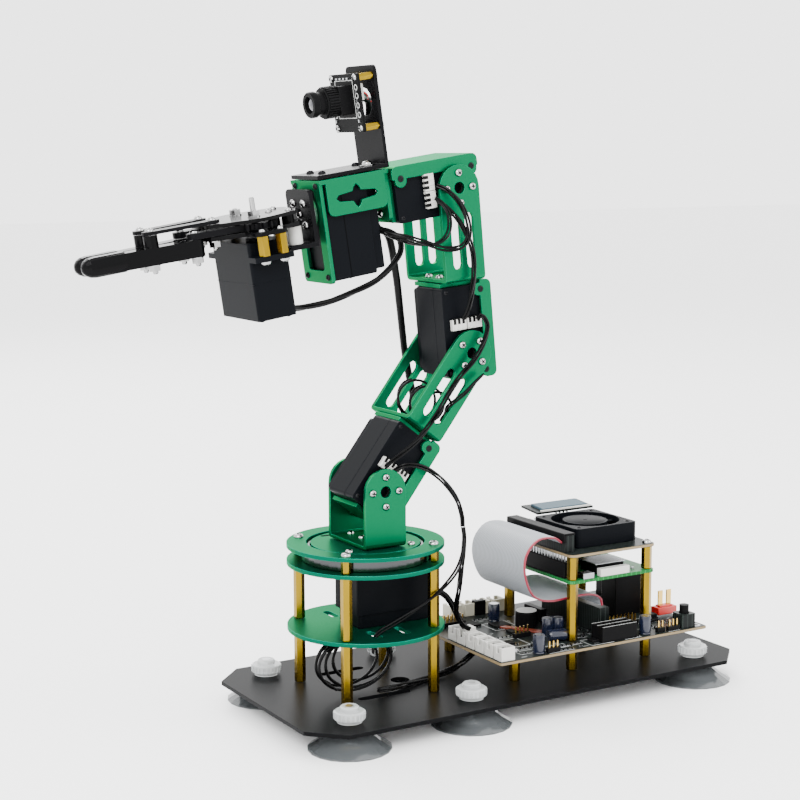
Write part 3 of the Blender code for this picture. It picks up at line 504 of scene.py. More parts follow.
def pan_head(radius, height):
    """Domed screw head with a cross recess, its seat at z 0."""
    profile = [(0, height), (radius * 0.45, height * 0.96), (radius * 0.8, height * 0.72),
               (radius, height * 0.3), (radius, 0), (0, 0)]
    wide, long, deep = radius * 0.17, radius * 0.55, height * 0.45
    bars = [box((-wide, wide), (-long, long), (deep, height * 2)),
            box((-long, long), (-wide, wide), (deep, height * 2))]
    return cut(turned(profile, 20), *bars)


def recess(radius, height):
    """Painted shade on the floor of a pan head's cross recess."""
    wide, long = radius * 0.17, radius * 0.55
    level = (height * 0.44, height * 0.50)
    return joined([box((-wide, wide), (-long, long), level), box((-long, long), (-wide, wide), level)])


def fasten(name, size, places, direction, where, body, finishes, material="chrome"):
    """Pan-head screws of one (radius, height), with painted shade in their recesses as a second piece."""
    piece(name, scattered(pan_head(*size), places, direction), where, body, finishes[material])
    piece(name + "_recess_shade", scattered(recess(*size), places, direction), where, body, finishes["shadow"])


def hex_nut(flats, height, bore):
    return prism(hexagon((0, 0), flats), 0, height, [circle((0, 0), bore, 16)])


def scattered(shape, places, direction, spin=0.7):
    """Copies of a shape at some places, its Z along a direction, each turned a little further about it."""
    turn = facing(direction)
    return joined([moved(shape, place, turn @ Matrix.Rotation(spin * i, 4, "Z"))
                   for i, place in enumerate(places)])


def tube(points, radius, sides=12):
    """A round tube through points in metres, with domed ends."""
    bm = bmesh.new()
    rings = []
    side = None
    for i, point in enumerate(points):
        along = (points[min(i + 1, len(points) - 1)] - points[max(i - 1, 0)]).normalized()
        side = along.orthogonal() if side is None else side - along * side.dot(along)
        side.normalize()
        up = along.cross(side)
        rings.append([bm.verts.new(point + (side * cos(2 * pi * k / sides)
                                            + up * sin(2 * pi * k / sides)) * radius)
                      for k in range(sides)])
    for low, high in zip(rings, rings[1:]):
        for k in range(sides):
            bm.faces.new((low[k], low[(k + 1) % sides], high[(k + 1) % sides], high[k]))
    bm.faces.new(rings[0][::-1])
    bm.faces.new(rings[-1])
    return mesh_of(bm)


def smooth_route(points, spacing):
    """Evenly spaced points in metres on a smooth curve through a given route in millimetres."""
    path = [Vector(p) for p in points]
    ends = [path[0] * 2 - path[1], *path, path[-1] * 2 - path[-2]]
    fine = []
    for a, b, c, d in zip(ends, ends[1:], ends[2:], ends[3:]):
        fine += interpolate_bezier(b, b + (c - a) / 6, c - (d - b) / 6, c, 16)[:-1]
    fine.append(path[-1])
    kept, travelled = [fine[0]], 0.0
    for before, after in zip(fine, fine[1:]):
        travelled += (after - before).length
        if travelled >= spacing:
            kept.append(after)
            travelled = 0.0
    kept[-1] = fine[-1]
    return [p * MM for p in kept]


def strands(path, count, wire, loose=0.0):
    """Wires that twist slowly round a path, as one mesh, and part in the middle when loose."""
    if count == 1:
        return tube(path, wire * MM)
    tight = wire / sin(pi / count) * MM * 1.02
    lines = [[] for _ in range(count)]
    side, turn = None, 0.0
    for i, point in enumerate(path):
        along = (path[min(i + 1, len(path) - 1)] - path[max(i - 1, 0)]).normalized()
        side = along.orthogonal() if side is None else side - along * side.dot(along)
        side.normalize()
        up = along.cross(side)
        turn += 2 * pi * (point - path[max(i - 1, 0)]).length / (WIRE_TWIST * MM)
        reach = tight * (1 + loose * sin(pi * i / (len(path) - 1)))
        for k, line in enumerate(lines):
            angle = 2 * pi * k / count + turn
            line.append(point + (side * cos(angle) + up * sin(angle)) * reach)
    return joined([tube(line, wire * MM, 8) for line in lines])


# ---------------------------------------------------------------- leads

LEADS = {
    "base_lead": ("turntable", "root", [
        (43.4, -23.5, 95.0), (44.0, -23.5, 89.0), (44.0, -22.5, 78.0), (43.5, -20.5, 66.0),
        (44.5, -16.0, 54.0), (47.5, -12.0, 45.0), (52.0, -10.5, 39.5), (56.4, -10.0, 37.0)]),
    "shoulder_lead": ("upper_arm", "turntable", [
        (5.4, -19.0, 126.4), (8.6, -21.6, 129.0), (14.0, -23.2, 129.6), (22.0, -24.0, 127.0),
        (31.0, -24.0, 120.5), (38.5, -24.0, 111.0), (42.4, -23.8, 101.5), (43.3, -23.5, 95.6)]),
    "elbow_lead": ("upper_arm", "forearm", [
        (1.0, -19.4, 129.4), (1.8, -21.6, 131.5), (8.0, -23.8, 136.5), (17.0, -25.0, 143.5),
        (26.0, -25.0, 153.0), (33.0, -25.0, 163.0), (40.5, -25.2, 172.0), (48.5, -25.4, 180.0),
        (54.5, -25.2, 188.5), (57.5, -24.4, 196.5), (55.6, -21.6, 201.8), (54.6, -19.4, 199.6)]),
    "wrist_lead": ("forearm", "wrist", [
        (46.4, -19.4, 200.6), (47.0, -21.6, 204.0), (48.0, -23.6, 212.0), (49.0, -24.6, 222.0),
        (48.0, -25.0, 233.0), (44.0, -25.0, 243.0), (39.0, -25.0, 250.5), (34.0, -24.0, 255.5),
        (29.4, -21.6, 259.5)]),
    "hand_lead": ("hand", "wrist", [
        (-48.2, -14.0, 209.8), (-41.0, -13.6, 209.6), (-29.0, -13.0, 211.4), (-15.0, -12.6, 215.0),
        (-2.0, -12.4, 220.0), (8.0, -12.2, 226.6), (14.0, -12.0, 234.0), (13.6, -11.4, 240.6),
        (8.6, -10.6, 244.2), (3.0, -10.0, 245.2)]),
}


def bending_lead(name, path, count, wire, loose, finishes):
    """A lead across one joint, as one piece on no body with its transform baked in."""
    lead = piece(name + "_wires", strands(path, count, wire, loose), Matrix.Identity(4), None,
                 finishes["lead"])
    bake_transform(lead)
    return lead


def make_leads(finishes):
    """The five joint-crossing leads, each swept along its route; the CAD lead of the same name is hidden."""
    for name, (first, second, points) in LEADS.items():
        path = [TOWER @ p for p in smooth_route(points, 1.6)]
        wire, loose = (0.76, 0.0) if name == "hand_lead" else (0.60, 0.28)
        lead = bending_lead(name, path, 3, wire, loose, finishes)
        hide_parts(name)


def fixed_lead(name, points, count, wire, body, where, finishes, loose=0.0):
    """A lead that lies on one body."""
    path = [where @ p for p in smooth_route(points, wire * 1.8)]
    lead = piece(name, strands(path, count, wire, loose), Matrix.Identity(4), body, finishes["lead"])


def ring_route(centre, across, high, low_angle, turns, depth):
    """Points round a loop in a frame's X and Z, 12 a turn; depth gives y along it from 0 to 1."""
    count = int(12 * turns)
    points = []
    for i in range(count + 1):
        angle = radians(low_angle) + 2 * pi * turns * i / count
        points.append((centre[0] + across * cos(angle), depth(i / count), centre[1] + high * sin(angle)))
    return points


def make_fixed_leads(finishes):
    fixed_lead("base_servo_lead", [(42.0, -26.5, 90), (41.0, -27.5, 84), (37.0, -29.0, 76),
                                   (30.0, -30.2, 69.4), (21.0, -30.2, 63.0), (10.5, -28.2, 56.6),
                                   (1.0, -25.6, 51.2), (-5.6, -23.6, 47.6), (-8.0, -22.6, 43.6),
                                   (-8.6, -22.0, 37)], 2, 0.62, "root", TOWER, finishes, 0.1)
    fixed_lead("board_bundle", [(30, -4, 60), (36, -6.6, 59.6), (42, -8, 56.6), (46.8, -8.4, 50.6),
                                (50.6, -8.4, 43.4), (54.0, -7.4, 38.6), (57.2, -6.8, 36.2)], 5, 0.62,
               "root", TOWER, finishes)
    spare = [(-13, 21, 14.5, -14), (-9, 19.5, 14.0, -10.5), (-14, 18, 13.2, -7), (-4, 16.5, 12.5, -3.5)]
    for i, (middle, across, high, y) in enumerate(spare):
        loop = ring_route((middle, 30.6 - 0.3 * i), across, high, 110, 1.35,
                          lambda t, y=y: y + 3 * sin(pi * t))
        fixed_lead(f"spare_loop_{i + 1}", loop, 1, 0.72, "root", TOWER, finishes)
    fixed_lead("board_lead", [(-2, -16, 15.2), (10, -14, 14.4), (24, -11, 14.2), (38, -8, 14.4),
                              (52, -4, 15.6), (64, 1, 18.6), (74, 6, 22.2), (80, 9, 23.4)], 4, 0.6,
               "root", TOWER, finishes, 0.3)
    fixed_lead("roll_servo_lead", [(30.6, -19.6, 266.5), (34, -23.6, 264.4), (39.4, -26, 258.5),
                                   (43.5, -26.6, 250), (44.5, -26.4, 241.6), (40.6, -25.8, 236.4),
                                   (32, -24.8, 236), (20, -23.4, 239.4), (10, -20.6, 242.4),
                                   (4, -14, 244.2), (1.4, -7, 246)], 3, 0.58, "wrist", TOWER, finishes, 0.5)
    fixed_lead("wrist_servo_lead", [(27.6, -22.4, 260.6), (31.5, -24, 257.4), (34.4, -24.6, 252),
                                    (34.0, -24.4, 243.6), (28, -23.8, 238.6), (20, -20.4, 238.0),
                                    (13, -15, 240.2), (9, -8, 243.0), (6, 0, 246)], 2, 0.58, "wrist", TOWER,
               finishes, 0.3)
    for i, (x, across, y) in enumerate(((-3, 10.6, 2), (0, 9.4, -4), (3, 8.4, -9))):
        coil = ring_route((x, 50.6), across, 9.4 - 0.6 * i, 130, 1.45, lambda t, y=y: y - 5 * sin(pi * t))
        fixed_lead(f"elbow_coil_{i + 1}", coil, 1, 0.66, "upper_arm", UPPER, finishes)
    fixed_lead("elbow_slot_lead", [(10.4, -10, 48), (8.4, -14, 50.6), (5.0, -18.2, 53.4),
                                   (4.8, -22.0, 58), (6.4, -23.4, 64), (7.8, -23.6, 71),
                                   (9.6, -23.4, 77)], 2, 0.58, "upper_arm", UPPER, finishes)


def make_camera_lead(finishes):
    """The thick camera lead: down the mast and the wrist's far side, then behind the elbow bracket."""
    radius = 1.9
    top = [(50, 0, 43), (50, 0, 40), (49, 1, 34), (44, 4, 31.4), (34, 10, 30.6), (24, 17, 30.2),
           (12, 20.6, 30), (0, 20.8, 29.6), (-10, 18, 29.8), (-16, 12.5, 31.0)]
    fixed_lead("camera_lead_mast", top, 1, radius, "wrist", WRIST, finishes)
    first = TOWER.inverted() @ (WRIST @ (Vector(top[-1]) * MM)) / MM
    middle = [(19.2, 8.0, 240.6), (23.9, 9.0, 221.3), (28.3, 13.0, 205.6)]
    low = [(28.3, 13.0, 205.6), (33.7, 19.0, 189.4), (36.9, 22.4, 180.0), (39.6, 22.8, 167.8),
           (42.7, 22.8, 154.4)]
    for name, points, bodies in (("camera_lead_upper", [first, *middle], ("wrist", "forearm")),
                                 ("camera_lead_lower", low, ("forearm", "upper_arm"))):
        path = [TOWER @ p for p in smooth_route(points, 2.0)]
        bending_lead(name, path, 1, radius, 0.0, finishes)


# ---------------------------------------------------------------- servos and brackets

def ear_holes(height=0.0):
    return [(7.4 * cos(a), side * EAR_FACE, height + 7.4 * sin(a)) for side in (-1, 1)
            for a in (0, pi / 2, pi, 3 * pi / 2)]


def make_ears(finishes):
    """Ear screws, and the free idler horn at the near side of each arm joint."""
    for name, body, where, height in (("shoulder", "turntable", SHOULDER, 0),
                                      ("elbow", "upper_arm", UPPER, LINK),
                                      ("wrist", "forearm", FORE, LINK)):
        for side, word in ((-1, "near"), (1, "far")):
            places = [p for p in ear_holes(height) if p[1] * side > 0]
            fasten(f"{name}_ear_screws_{word}", HEAD, places, (0, side, 0), where, body, finishes)
        ring = prism(circle((0, height), 8.6, 32), -17.0, -14.9, [circle((0, height), 2.6, 20)], axis="Y")
        piece(f"{name}_idler_horn", ring, where, body, finishes["socket"], 0.2)


def plug(width=8.4, height=5.4, depth=2.2):
    """Three-way servo plug in its socket: ribs on the face and three wire entries."""
    shell = box((-width / 2, width / 2), (-depth, 0.2), (0, height))
    gaps = [box((x - 0.85, x + 0.85), (-depth - 1, -depth + 1.4),
                (height - 2.4, height + 1)) for x in (-2.5, 0, 2.5)]
    ribs = [box((x - 0.3, x + 0.3), (-depth - 0.25, -depth + 0.3), (0.4, height - 2.6))
            for x in (-3.7, -1.25, 1.25, 3.7)]
    return joined([cut(shell, *gaps), *ribs])


def plug_wires(height=5.4, depth=2.2):
    return joined([block((x, -depth + 0.75, height - 0.9), (1.1, 1.1, 3.2)) for x in (-2.5, 0, 2.5)])


def make_servo_details(finishes):
    """Case seams, corner screws, and two plugs on the near face of each arm servo."""
    small = pan_head(1.15, 0.7)
    corners = [(x, z) for x in (-CASE_HALF + 2.3, CASE_HALF - 2.3)
               for z in (-CASE_BELOW + 2.3, CASE_ABOVE - 2.3)]
    seats = {"servo_2": ("upper_arm", UPPER, (-5.4, 3.4), 9.2),
             "servo_3": ("forearm", FORE, (-4.5, 4.5), 12.2),
             "servo_4": ("wrist", WRIST, (-3.4, 5.2), 12.6)}
    for name, (body, where, offsets, height) in seats.items():
        screws = [moved(small, (x, -CASE_FACE, z), facing((0, -1, 0))) for x, z in corners]
        screws += [moved(small, (x * 0.8, CASE_FACE, z * 0.92), facing((0, 1, 0))) for x, z in corners]
        piece(f"{name}_case_screws", joined(screws), where, body, finishes["dark steel"])
        plugs = [moved(plug(), (x, -CASE_FACE, height)) for x in offsets]
        piece(f"{name}_plugs", joined(plugs), where, body, finishes["white"], 0.15)
        wires = [moved(plug_wires(), (x, -CASE_FACE, height)) for x in offsets]
        piece(f"{name}_plug_wires", joined(wires), where, body, finishes["lead"])
        seam = prism(rounded((-CASE_HALF - 0.08, CASE_HALF + 0.08), (-CASE_BELOW - 0.08, CASE_ABOVE + 0.08),
                             1.5),
                     -6.2, -6.06, axis="Y")
        piece(f"{name}_seam", seam, where, body, finishes["case"])


def make_bracket_screws(finishes):
    """Screws through the channel flanges into the servos, and those that hold bracket to bracket."""
    dark = pan_head(1.7, 0.35)
    for name, body, where in (("servo_2", "upper_arm", UPPER), ("servo_3", "forearm", FORE),
                              ("servo_4", "wrist", WRIST)):
        places = [(9.4, side * 16.8, z) for side in (-1, 1) for z in (31.2, -9.8)]
        screws = [moved(dark, p, facing((0, p[1], 0))) for p in places]
        piece(f"{name}_bracket_screws", joined(screws), where, body, finishes["dark steel"])
    for name, body, where in (("upper_arm", "upper_arm", UPPER), ("forearm", "forearm", FORE)):
        places = [(x, y, BRACKET_BASE + SHEET) for x, y in ((-7, -5), (-7, 5), (7, -5), (7, 5))]
        fasten(f"{name}_base_screws", HEAD, places, (0, 0, 1), where, body, finishes)
        nuts = [(x, y, BRACKET_BASE - 0.3 - SHEET - 1.7) for x, y in ((-7, -5), (-7, 5), (7, -5), (7, 5))]
        piece(f"{name}_base_nuts", scattered(hex_nut(3.6, 1.7, 1.0), nuts, (0, 0, 1)), where, body,
              finishes["chrome"])


# ---------------------------------------------------------------- tower and base

def corner_places(offset, z):
    return [(x, y, z) for x in (-offset, offset) for y in (-offset, offset)]


def make_tower(finishes):
    fasten("ring_screws", LARGE_HEAD, corner_places(POST_OFFSET, RING_TOP), (0, 0, 1), TOWER, "root",
           finishes)
    table = [(x, y, RING_TOP - 0.5) for x, y in ((-18.5, -16.5), (16.5, -17.5), (15.5, 18.5))]
    fasten("table_screws", HEAD, table, (0, 0, 1), TOWER, "turntable", finishes)
    base = [(x, y, RING_TOP + 1.8) for x in (-2.5, 8.5) for y in (-1.0, 11.0)]
    fasten("shoulder_base_screws", HEAD, base, (0, 0, 1), TOWER, "turntable", finishes)
    # the table's slit is a thin sheet of painted shade on its surface
    slit = hull((-12.5, 22.4, 1.2), (-5.4, 22.0, 1.2))
    piece("table_slit", prism(slit, RING_TOP - 0.48, RING_TOP - 0.42), TOWER, "turntable",
          finishes["shadow"])
    lip = prism(circle((0, 0), 29.3, 64), RING_TOP - 2.4, RING_TOP - 1.3, [circle((0, 0), 28.2, 64)])
    piece("bearing_lip", lip, TOWER, "root", finishes["race"])
    under = corner_places(POST_OFFSET, PLATE_TOP - SHEET)
    fasten("plate_post_screws", LARGE_HEAD, under, (0, 0, -1), TOWER, "root", finishes)


def make_hand_nuts(finishes):
    """Ribs round the clear hand nuts, and the socket in the top of each."""
    feet = sorted(name for name in frame["nodes"] if name.startswith("suction_foot"))
    ribs, sockets = [], []
    for name in feet:
        low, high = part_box(name)
        centre = ((low + high) / 2 - TOWER.translation) / MM
        for i in range(22):
            rib = box((7.2, 7.85), (-0.42, 0.42), (15.0, 18.0))
            ribs.append(moved(rib, (centre.x, centre.y, 0), Matrix.Rotation(2 * pi * i / 22, 4, "Z")))
        sockets.append(moved(prism(hexagon((0, 0), 4.2), 20.92, 20.98), (centre.x, centre.y, 0)))
    piece("hand_nut_ribs", joined(ribs), TOWER, "root", finishes["clear"])
    piece("hand_nut_sockets", joined(sockets), TOWER, "root", finishes["solder"])


# ---------------------------------------------------------------- wrist and camera

def make_wrist(finishes):
    foot = [(17.6, y, w) for w in (67.8, 42.5) for y in (-6, 6)]
    fasten("mast_screws", HEAD, [*foot[:2], foot[3]], (1, 0, 0), WRIST, "wrist", finishes, "dark steel")
    fasten("mast_clamp_screw", LARGE_HEAD, [(18.2, foot[2][1], foot[2][2])], (1, 0, 0), WRIST, "wrist",
           finishes)
    washer = prism(circle((-6, 42.5), 3.6, 28), 17.62, 18.2, axis="X")
    piece("mast_clamp_washer", washer, WRIST, "wrist", finishes["chrome"], 0.1)
    front = [(v, y, ROLL_FACE + 2.1) for v in (-31.4, 12.6) for y in (-10.5, 10.5)]
    fasten("roll_bracket_screws", (1.5, 1.1), front, (0, 0, 1), WRIST, "wrist", finishes, "dark steel")
    rear = [(v, y, BRACKET_BASE + 2.3) for v in (-6.6, 6) for y in (-6, 6)]
    fasten("roll_bracket_rear_screws", HEAD, rear, (0, 0, 1), WRIST, "wrist", finishes)
    seam = prism(rounded((-33.95, 11.55), (-12.5, 12.5), 1.5), 62.4, 62.7)
    piece("servo_5_seam", seam, WRIST, "wrist", finishes["shadow"])


LENS = 50.0


def make_camera_posts(finishes):
    corners = [(v, y) for v in (36.2, 60.2) for y in (-11.4, 11.4)]
    posts = [prism(hexagon(c, 3.4), BRACKET_BASE + 0.5, 44.5) for c in corners]
    piece("camera_posts", joined(posts), WRIST, "wrist", finishes["brass"], 0.12)
    fasten("camera_screws", SMALL_HEAD, [(*c, 46.1) for c in corners], (0, 0, 1), WRIST, "wrist", finishes)
    backs = [(*c, BRACKET_BASE - 1.4) for c in corners]
    fasten("camera_mast_screws", SMALL_HEAD, backs, (0, 0, -1), WRIST, "wrist", finishes)


def make_camera_parts(finishes):
    """Lens ring with its ribs, hood, glass, board marks and small parts, plug and loose wires."""
    ribs = []
    for i in range(36):
        angle = 2 * pi * i / 36
        rib = box((6.9, 7.75), (-0.3, 0.3), (53.2, 58.6))
        ribs.append(moved(rib, (LENS, 0, 0), Matrix.Rotation(angle, 4, "Z")))
    piece("lens_ring_ribs", joined(ribs), WRIST, "wrist", finishes["socket"])
    hood = moved(turned([(4.3, 66.2), (5.9, 66.6), (6.3, 66.0), (6.3, 63.4), (5.7, 63.0), (4.3, 63.0),
                         (4.3, 66.2)], 32),
                 (LENS, 0, 0))
    piece("lens_hood", hood, WRIST, "wrist", finishes["socket"])
    dome = [(0, 65.9), (1.5, 65.75), (2.9, 65.3), (4.0, 64.7), (4.0, 64.4), (0, 64.4)]
    piece("lens_glass", moved(turned(dome, 28), (LENS, 0, 0)), WRIST, "wrist", finishes["lens"])
    top = 46.1
    lines = []
    for side in (-1, 1):
        lines.append(block((LENS, side * 8.6, top + 0.03), (18.4, 0.35, 0.06)))
        lines.append(block((LENS + side * 9.0, 0, top + 0.03), (0.35, 17.2, 0.06)))
        lines += [moved(turned([(1.0, 0), (1.5, 0), (1.5, 0.06), (1.0, 0.06), (1.0, 0)], 16),
                        (v, side * 11.3, top)) for v in (42.5, 47.0, 51.5, 55.5)]
    piece("camera_board_marks", joined(lines), WRIST, "wrist", finishes["ink"])
    parts = [block((v, side * 11.3, top + 0.4), (1.4, 0.8, 0.8)) for side in (-1, 1)
             for v in (39.6, 44.8, 49.2, 53.6)]
    parts += [block((60, y, top + 0.4), (0.8, 1.5, 0.8)) for y in (-5, -1.5, 2, 5.5)]
    piece("camera_board_parts", joined(parts), WRIST, "wrist", finishes["solder"])
    piece("camera_plug", cut(block((53, -6, 42.6), (8, 6, 3.8)), block((53, -6, 40.5), (6.4, 4.4, 2.4))),
          WRIST,
          "wrist", finishes["white"], 0.2)
    for i, colour in enumerate(("red wire", "lead", "green wire", "white wire")):
        y = -7.5 + i
        points = [(53, y, 41.4), (52.4, y - 0.3, 39.6), (50.5, y + 1, 37.4), (48.5, 0.5 * i, 34),
                  (47, 0.6 * i, 31.6)]
        path = smooth_route(points, 0.7)
        piece("camera_wire_" + colour.split()[0], tube(path, 0.42 * MM, 8), WRIST, "wrist",
              finishes[colour])


# ---------------------------------------------------------------- hand

def make_hand(finishes):
    plate = ROLL_FACE + 7.2
    horn = [(v, y, plate) for v in (5.2, -5.2) for y in (-5.2, 5.2)]
    fasten("mount_screws", HEAD, [*horn, (0, 0, plate)], (0, 0, 1), WRIST, "hand", finishes)
    posts = [(y, w) for y in (-25.3, 25.3) for w in (103.5, 113.0)]
    bars = [prism(hexagon(p, 5.0), -13.1, -3.6, axis="X") for p in posts]
    piece("gripper_posts", joined(bars), WRIST, "hand", finishes["brass"], 0.2)
    fasten("post_screws_over", (1.5, 1.1), [(-1.6, y, w) for y, w in posts], (1, 0, 0), WRIST, "hand",
           finishes)
    fasten("post_screws_under", LARGE_HEAD, [(-15.6, y, w) for y, w in posts], (-1, 0, 0), WRIST, "hand",
           finishes)
    spacers = [prism(circle((y, 87.6), 3.55, 28), -12.9, -4.2, axis="X") for y in (-7.5, 7.5)]
    piece("white_spacers", joined(spacers), WRIST, "hand", finishes["white"], 0.2)
    seam = box((-26.2, -26.06), (-20.08, 20.08), (98.42, 118.58))
    piece("gripper_servo_seam", seam, WRIST, "hand", finishes["case"])
    case = [(-43.6, y, w) for y in (-17, 17) for w in (101.5, 115.5)]
    fasten("gripper_servo_screws", (1.3, 0.8), case, (-1, 0, 0), WRIST, "hand", finishes, "dark steel")
    palm = [(4.0, y, w) for y, w in ((-8, 89.5), (8, 89.5), (0, 96), (10, 100))]
    fasten("palm_screws", SMALL_HEAD, palm, (1, 0, 0), WRIST, "hand", finishes)
    make_pivots(finishes)


def make_pivots(finishes):
    """Screws, washers and nuts at each pivot of the fingers, with the tall stud of the left drive link."""
    washer = prism(circle((0, 0), 3.0, 24), 0, 0.5)
    end = turned([(0, 0), (1.3, 0), (1.3, 3.9), (0.9, 4.4), (0, 4.4)], 14)
    lower = joined([washer, moved(hex_nut(5.0, 2.4, 1.2), (0, 0, 0.5)), end])
    for side, word in ((-1, "left"), (1, "right")):
        reach = 9.2 if side < 0 else 3.4
        stud = turned([(0, 0), (1.3, 0), (1.3, reach - 0.5), (0.9, reach), (0, reach)], 14)
        shape = joined([washer, moved(hex_nut(5.2, 2.4, 1.25), (0, 0, 0.5)), stud])
        spot = (4.0, side * DRIVE_PIVOT[1], DRIVE_PIVOT[0])
        piece(f"{word}_drive_stud", moved(shape, spot, facing((1, 0, 0))), WRIST, f"{word}_drive",
              finishes["chrome"])
        for name, (w, off), high, low, body in (("idler", IDLER_PIVOT, 5.9, -3.7, f"{word}_idler"),
                                                ("front", FINGER_FRONT, 5.9, -9.4, f"{word}_finger"),
                                                ("rear", FINGER_REAR, 1.7, -9.4, f"{word}_finger")):
            spot = (side * off, w)
            fasten(f"{word}_{name}_screw", HEAD, [(high, *spot)], (1, 0, 0), WRIST, body, finishes)
            nut = moved(lower, (low, *spot), facing((-1, 0, 0)))
            piece(f"{word}_{name}_nut", nut, WRIST, "hand" if name == "idler" else body, finishes["chrome"])


# ---------------------------------------------------------------- electronics

def make_ribbon(finishes):
    """Forty round wires side by side, swept along the ribbon's route, the near one red."""
    path = smooth_route([(102.4, 0, 80.6), (97.5, 0, 83.6), (87.5, 0, 83.6), (80.2, 0, 76.5),
                         (79.4, 0, 66.0), (84.6, 0, 54.6), (95.0, 0, 50.2), (111.0, 0, 50.6),
                         (122.0, 0, 50.2), (128.2, 0, 47.4), (129.5, 0, 43.2)], 2.2)
    wide = ribbon_sweep(path, range(1, RIBBON_WAYS))
    ribbon = piece("ribbon_wires", wide, TOWER, "root", finishes["grey ribbon"])
    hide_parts("ribbon_cable")
    piece("ribbon_first_wire", ribbon_sweep(path, [0]), TOWER, "root", finishes["red ribbon"])


def ribbon_sweep(path, ways):
    """The scalloped section of some of the ribbon's wires, swept along its route."""
    section = []
    for side in (1, -1):
        for way in ways if side > 0 else reversed(ways):
            for k in range(4):
                angle = pi * (k + 0.5) / 4
                across = RIBBON_NEAR + RIBBON_PITCH * (way + 0.5) - side * RIBBON_PITCH / 2 * cos(angle)
                section.append((across * MM, side * (0.2 + 0.32 * sin(angle)) * MM))
    bm = bmesh.new()
    rings = []
    for i, point in enumerate(path):
        along = (path[min(i + 1, len(path) - 1)] - path[max(i - 1, 0)]).normalized()
        out = Vector((-along.z, 0, along.x))
        rings.append([bm.verts.new(point + Vector((0, y, 0)) + out * t) for y, t in section])
    for low, high in zip(rings, rings[1:]):
        for k in range(len(section)):
            bm.faces.new((low[k - 1], low[k], high[k], high[k - 1]))
    bm.faces.new(rings[0])
    bm.faces.new(rings[-1][::-1])
    return mesh_of(bm)


def pin_header(columns, rows, height, pitch=2.54):
    """Square gold pins on a plastic strip, centred on the origin."""
    pins, strip = [], block((0, 0, 1.25), (columns * pitch, rows * pitch, 2.5))
    for i in range(columns):
        for j in range(rows):
            x, y = (i - (columns - 1) / 2) * pitch, (j - (rows - 1) / 2) * pitch
            pins.append(block((x, y, height / 2), (0.64, 0.64, height)))
    return strip, joined(pins)


def open_socket(size, wall=0.9, depth=5.0):
    """An open-topped box header on z 0."""
    x, y, z = size
    return cut(block((0, 0, z / 2), size), block((0, 0, z), (x - 2 * wall, y - 2 * wall, depth * 2)),
               block((-x / 2, 0, z), (wall * 3, y * 0.35, depth * 1.3)))


def make_sockets(finishes):
    """The white servo sockets at the board's tower side and along its far edge."""
    shell = open_socket((8.2, 7.3, 7.0))
    near = [(57.2, -41 + 8.6 * i, CONTROL_TOP) for i in range(6)]
    piece("servo_sockets", joined([moved(shell, p) for p in near]), TOWER, "root", finishes["white"], 0.15)
    pins = [block((p[0] + 0.6, p[1] + d, CONTROL_TOP + 3.4), (0.6, 0.6, 5)) for p in near
            for d in (-2.2, 0, 2.2)]
    piece("servo_socket_pins", joined(pins), TOWER, "root", finishes["solder"])
    # painted shade on the floor inside each socket
    floor_shade = [block((p[0], p[1], CONTROL_TOP + 2.5), (6.0, 5.0, 0.2)) for p in near]
    piece("servo_socket_floor_shade", joined(floor_shade), TOWER, "root", finishes["shadow"])
    piece("bundle_plug", block((57.4, -6.6, CONTROL_TOP + 6.5), (6.2, 6.6, 5.0)), TOWER, "root",
          finishes["white"],
          0.3)
    far = [(78 + 9.6 * i, 41.0, CONTROL_TOP) for i in range(4)]
    turn = Matrix.Rotation(-pi / 2, 4, "Z")
    piece("far_sockets", joined([moved(shell, p, turn) for p in far]), TOWER, "root", finishes["cream"],
          0.15)


def make_round_parts(finishes):
    """Buzzer, capacitors and the lying coil."""
    top = CONTROL_TOP
    buzzer = [(0, 0), (6, 0), (6, 8.2), (5.4, 8.8), (1.2, 8.8), (1.2, 8.2), (0, 8.2)]
    piece("buzzer", moved(turned(buzzer, 32), (102, 4, top)), TOWER, "root", finishes["socket"])
    label = [(0, 8.85), (5.6, 8.85), (5.6, 9.05), (0, 9.05)]
    piece("buzzer_seal", moved(turned(label, 32), (102, 4, top)), TOWER, "root", finishes["white"])
    sleeve = [(0, 0), (2.9, 0), (3.15, 0.4), (2.95, 1.0), (3.15, 1.6), (3.15, 9.4), (2.9, 10.0),
              (2.5, 10.0), (2.4, 9.8), (0, 9.8)]
    capacitor = turned(sleeve, 24)
    upright = [(78.5, -41, top), (147.5, -41, top), (100.6, -17.6, top), (106.0, -19.4, top),
               (93.0, 22.0, top)]
    shapes = [moved(capacitor, p) for p in upright]
    shapes.append(moved(capacitor, (94.6, -26.6, top + 3.2), facing((1, -0.25, 0))))
    piece("capacitors", joined(shapes), TOWER, "root", finishes["navy"])
    caps = [moved(turned([(0, 9.82), (2.35, 9.82), (2.35, 9.95), (0, 9.95)], 20), p) for p in upright]
    piece("capacitor_tops", joined(caps), TOWER, "root", finishes["solder"])


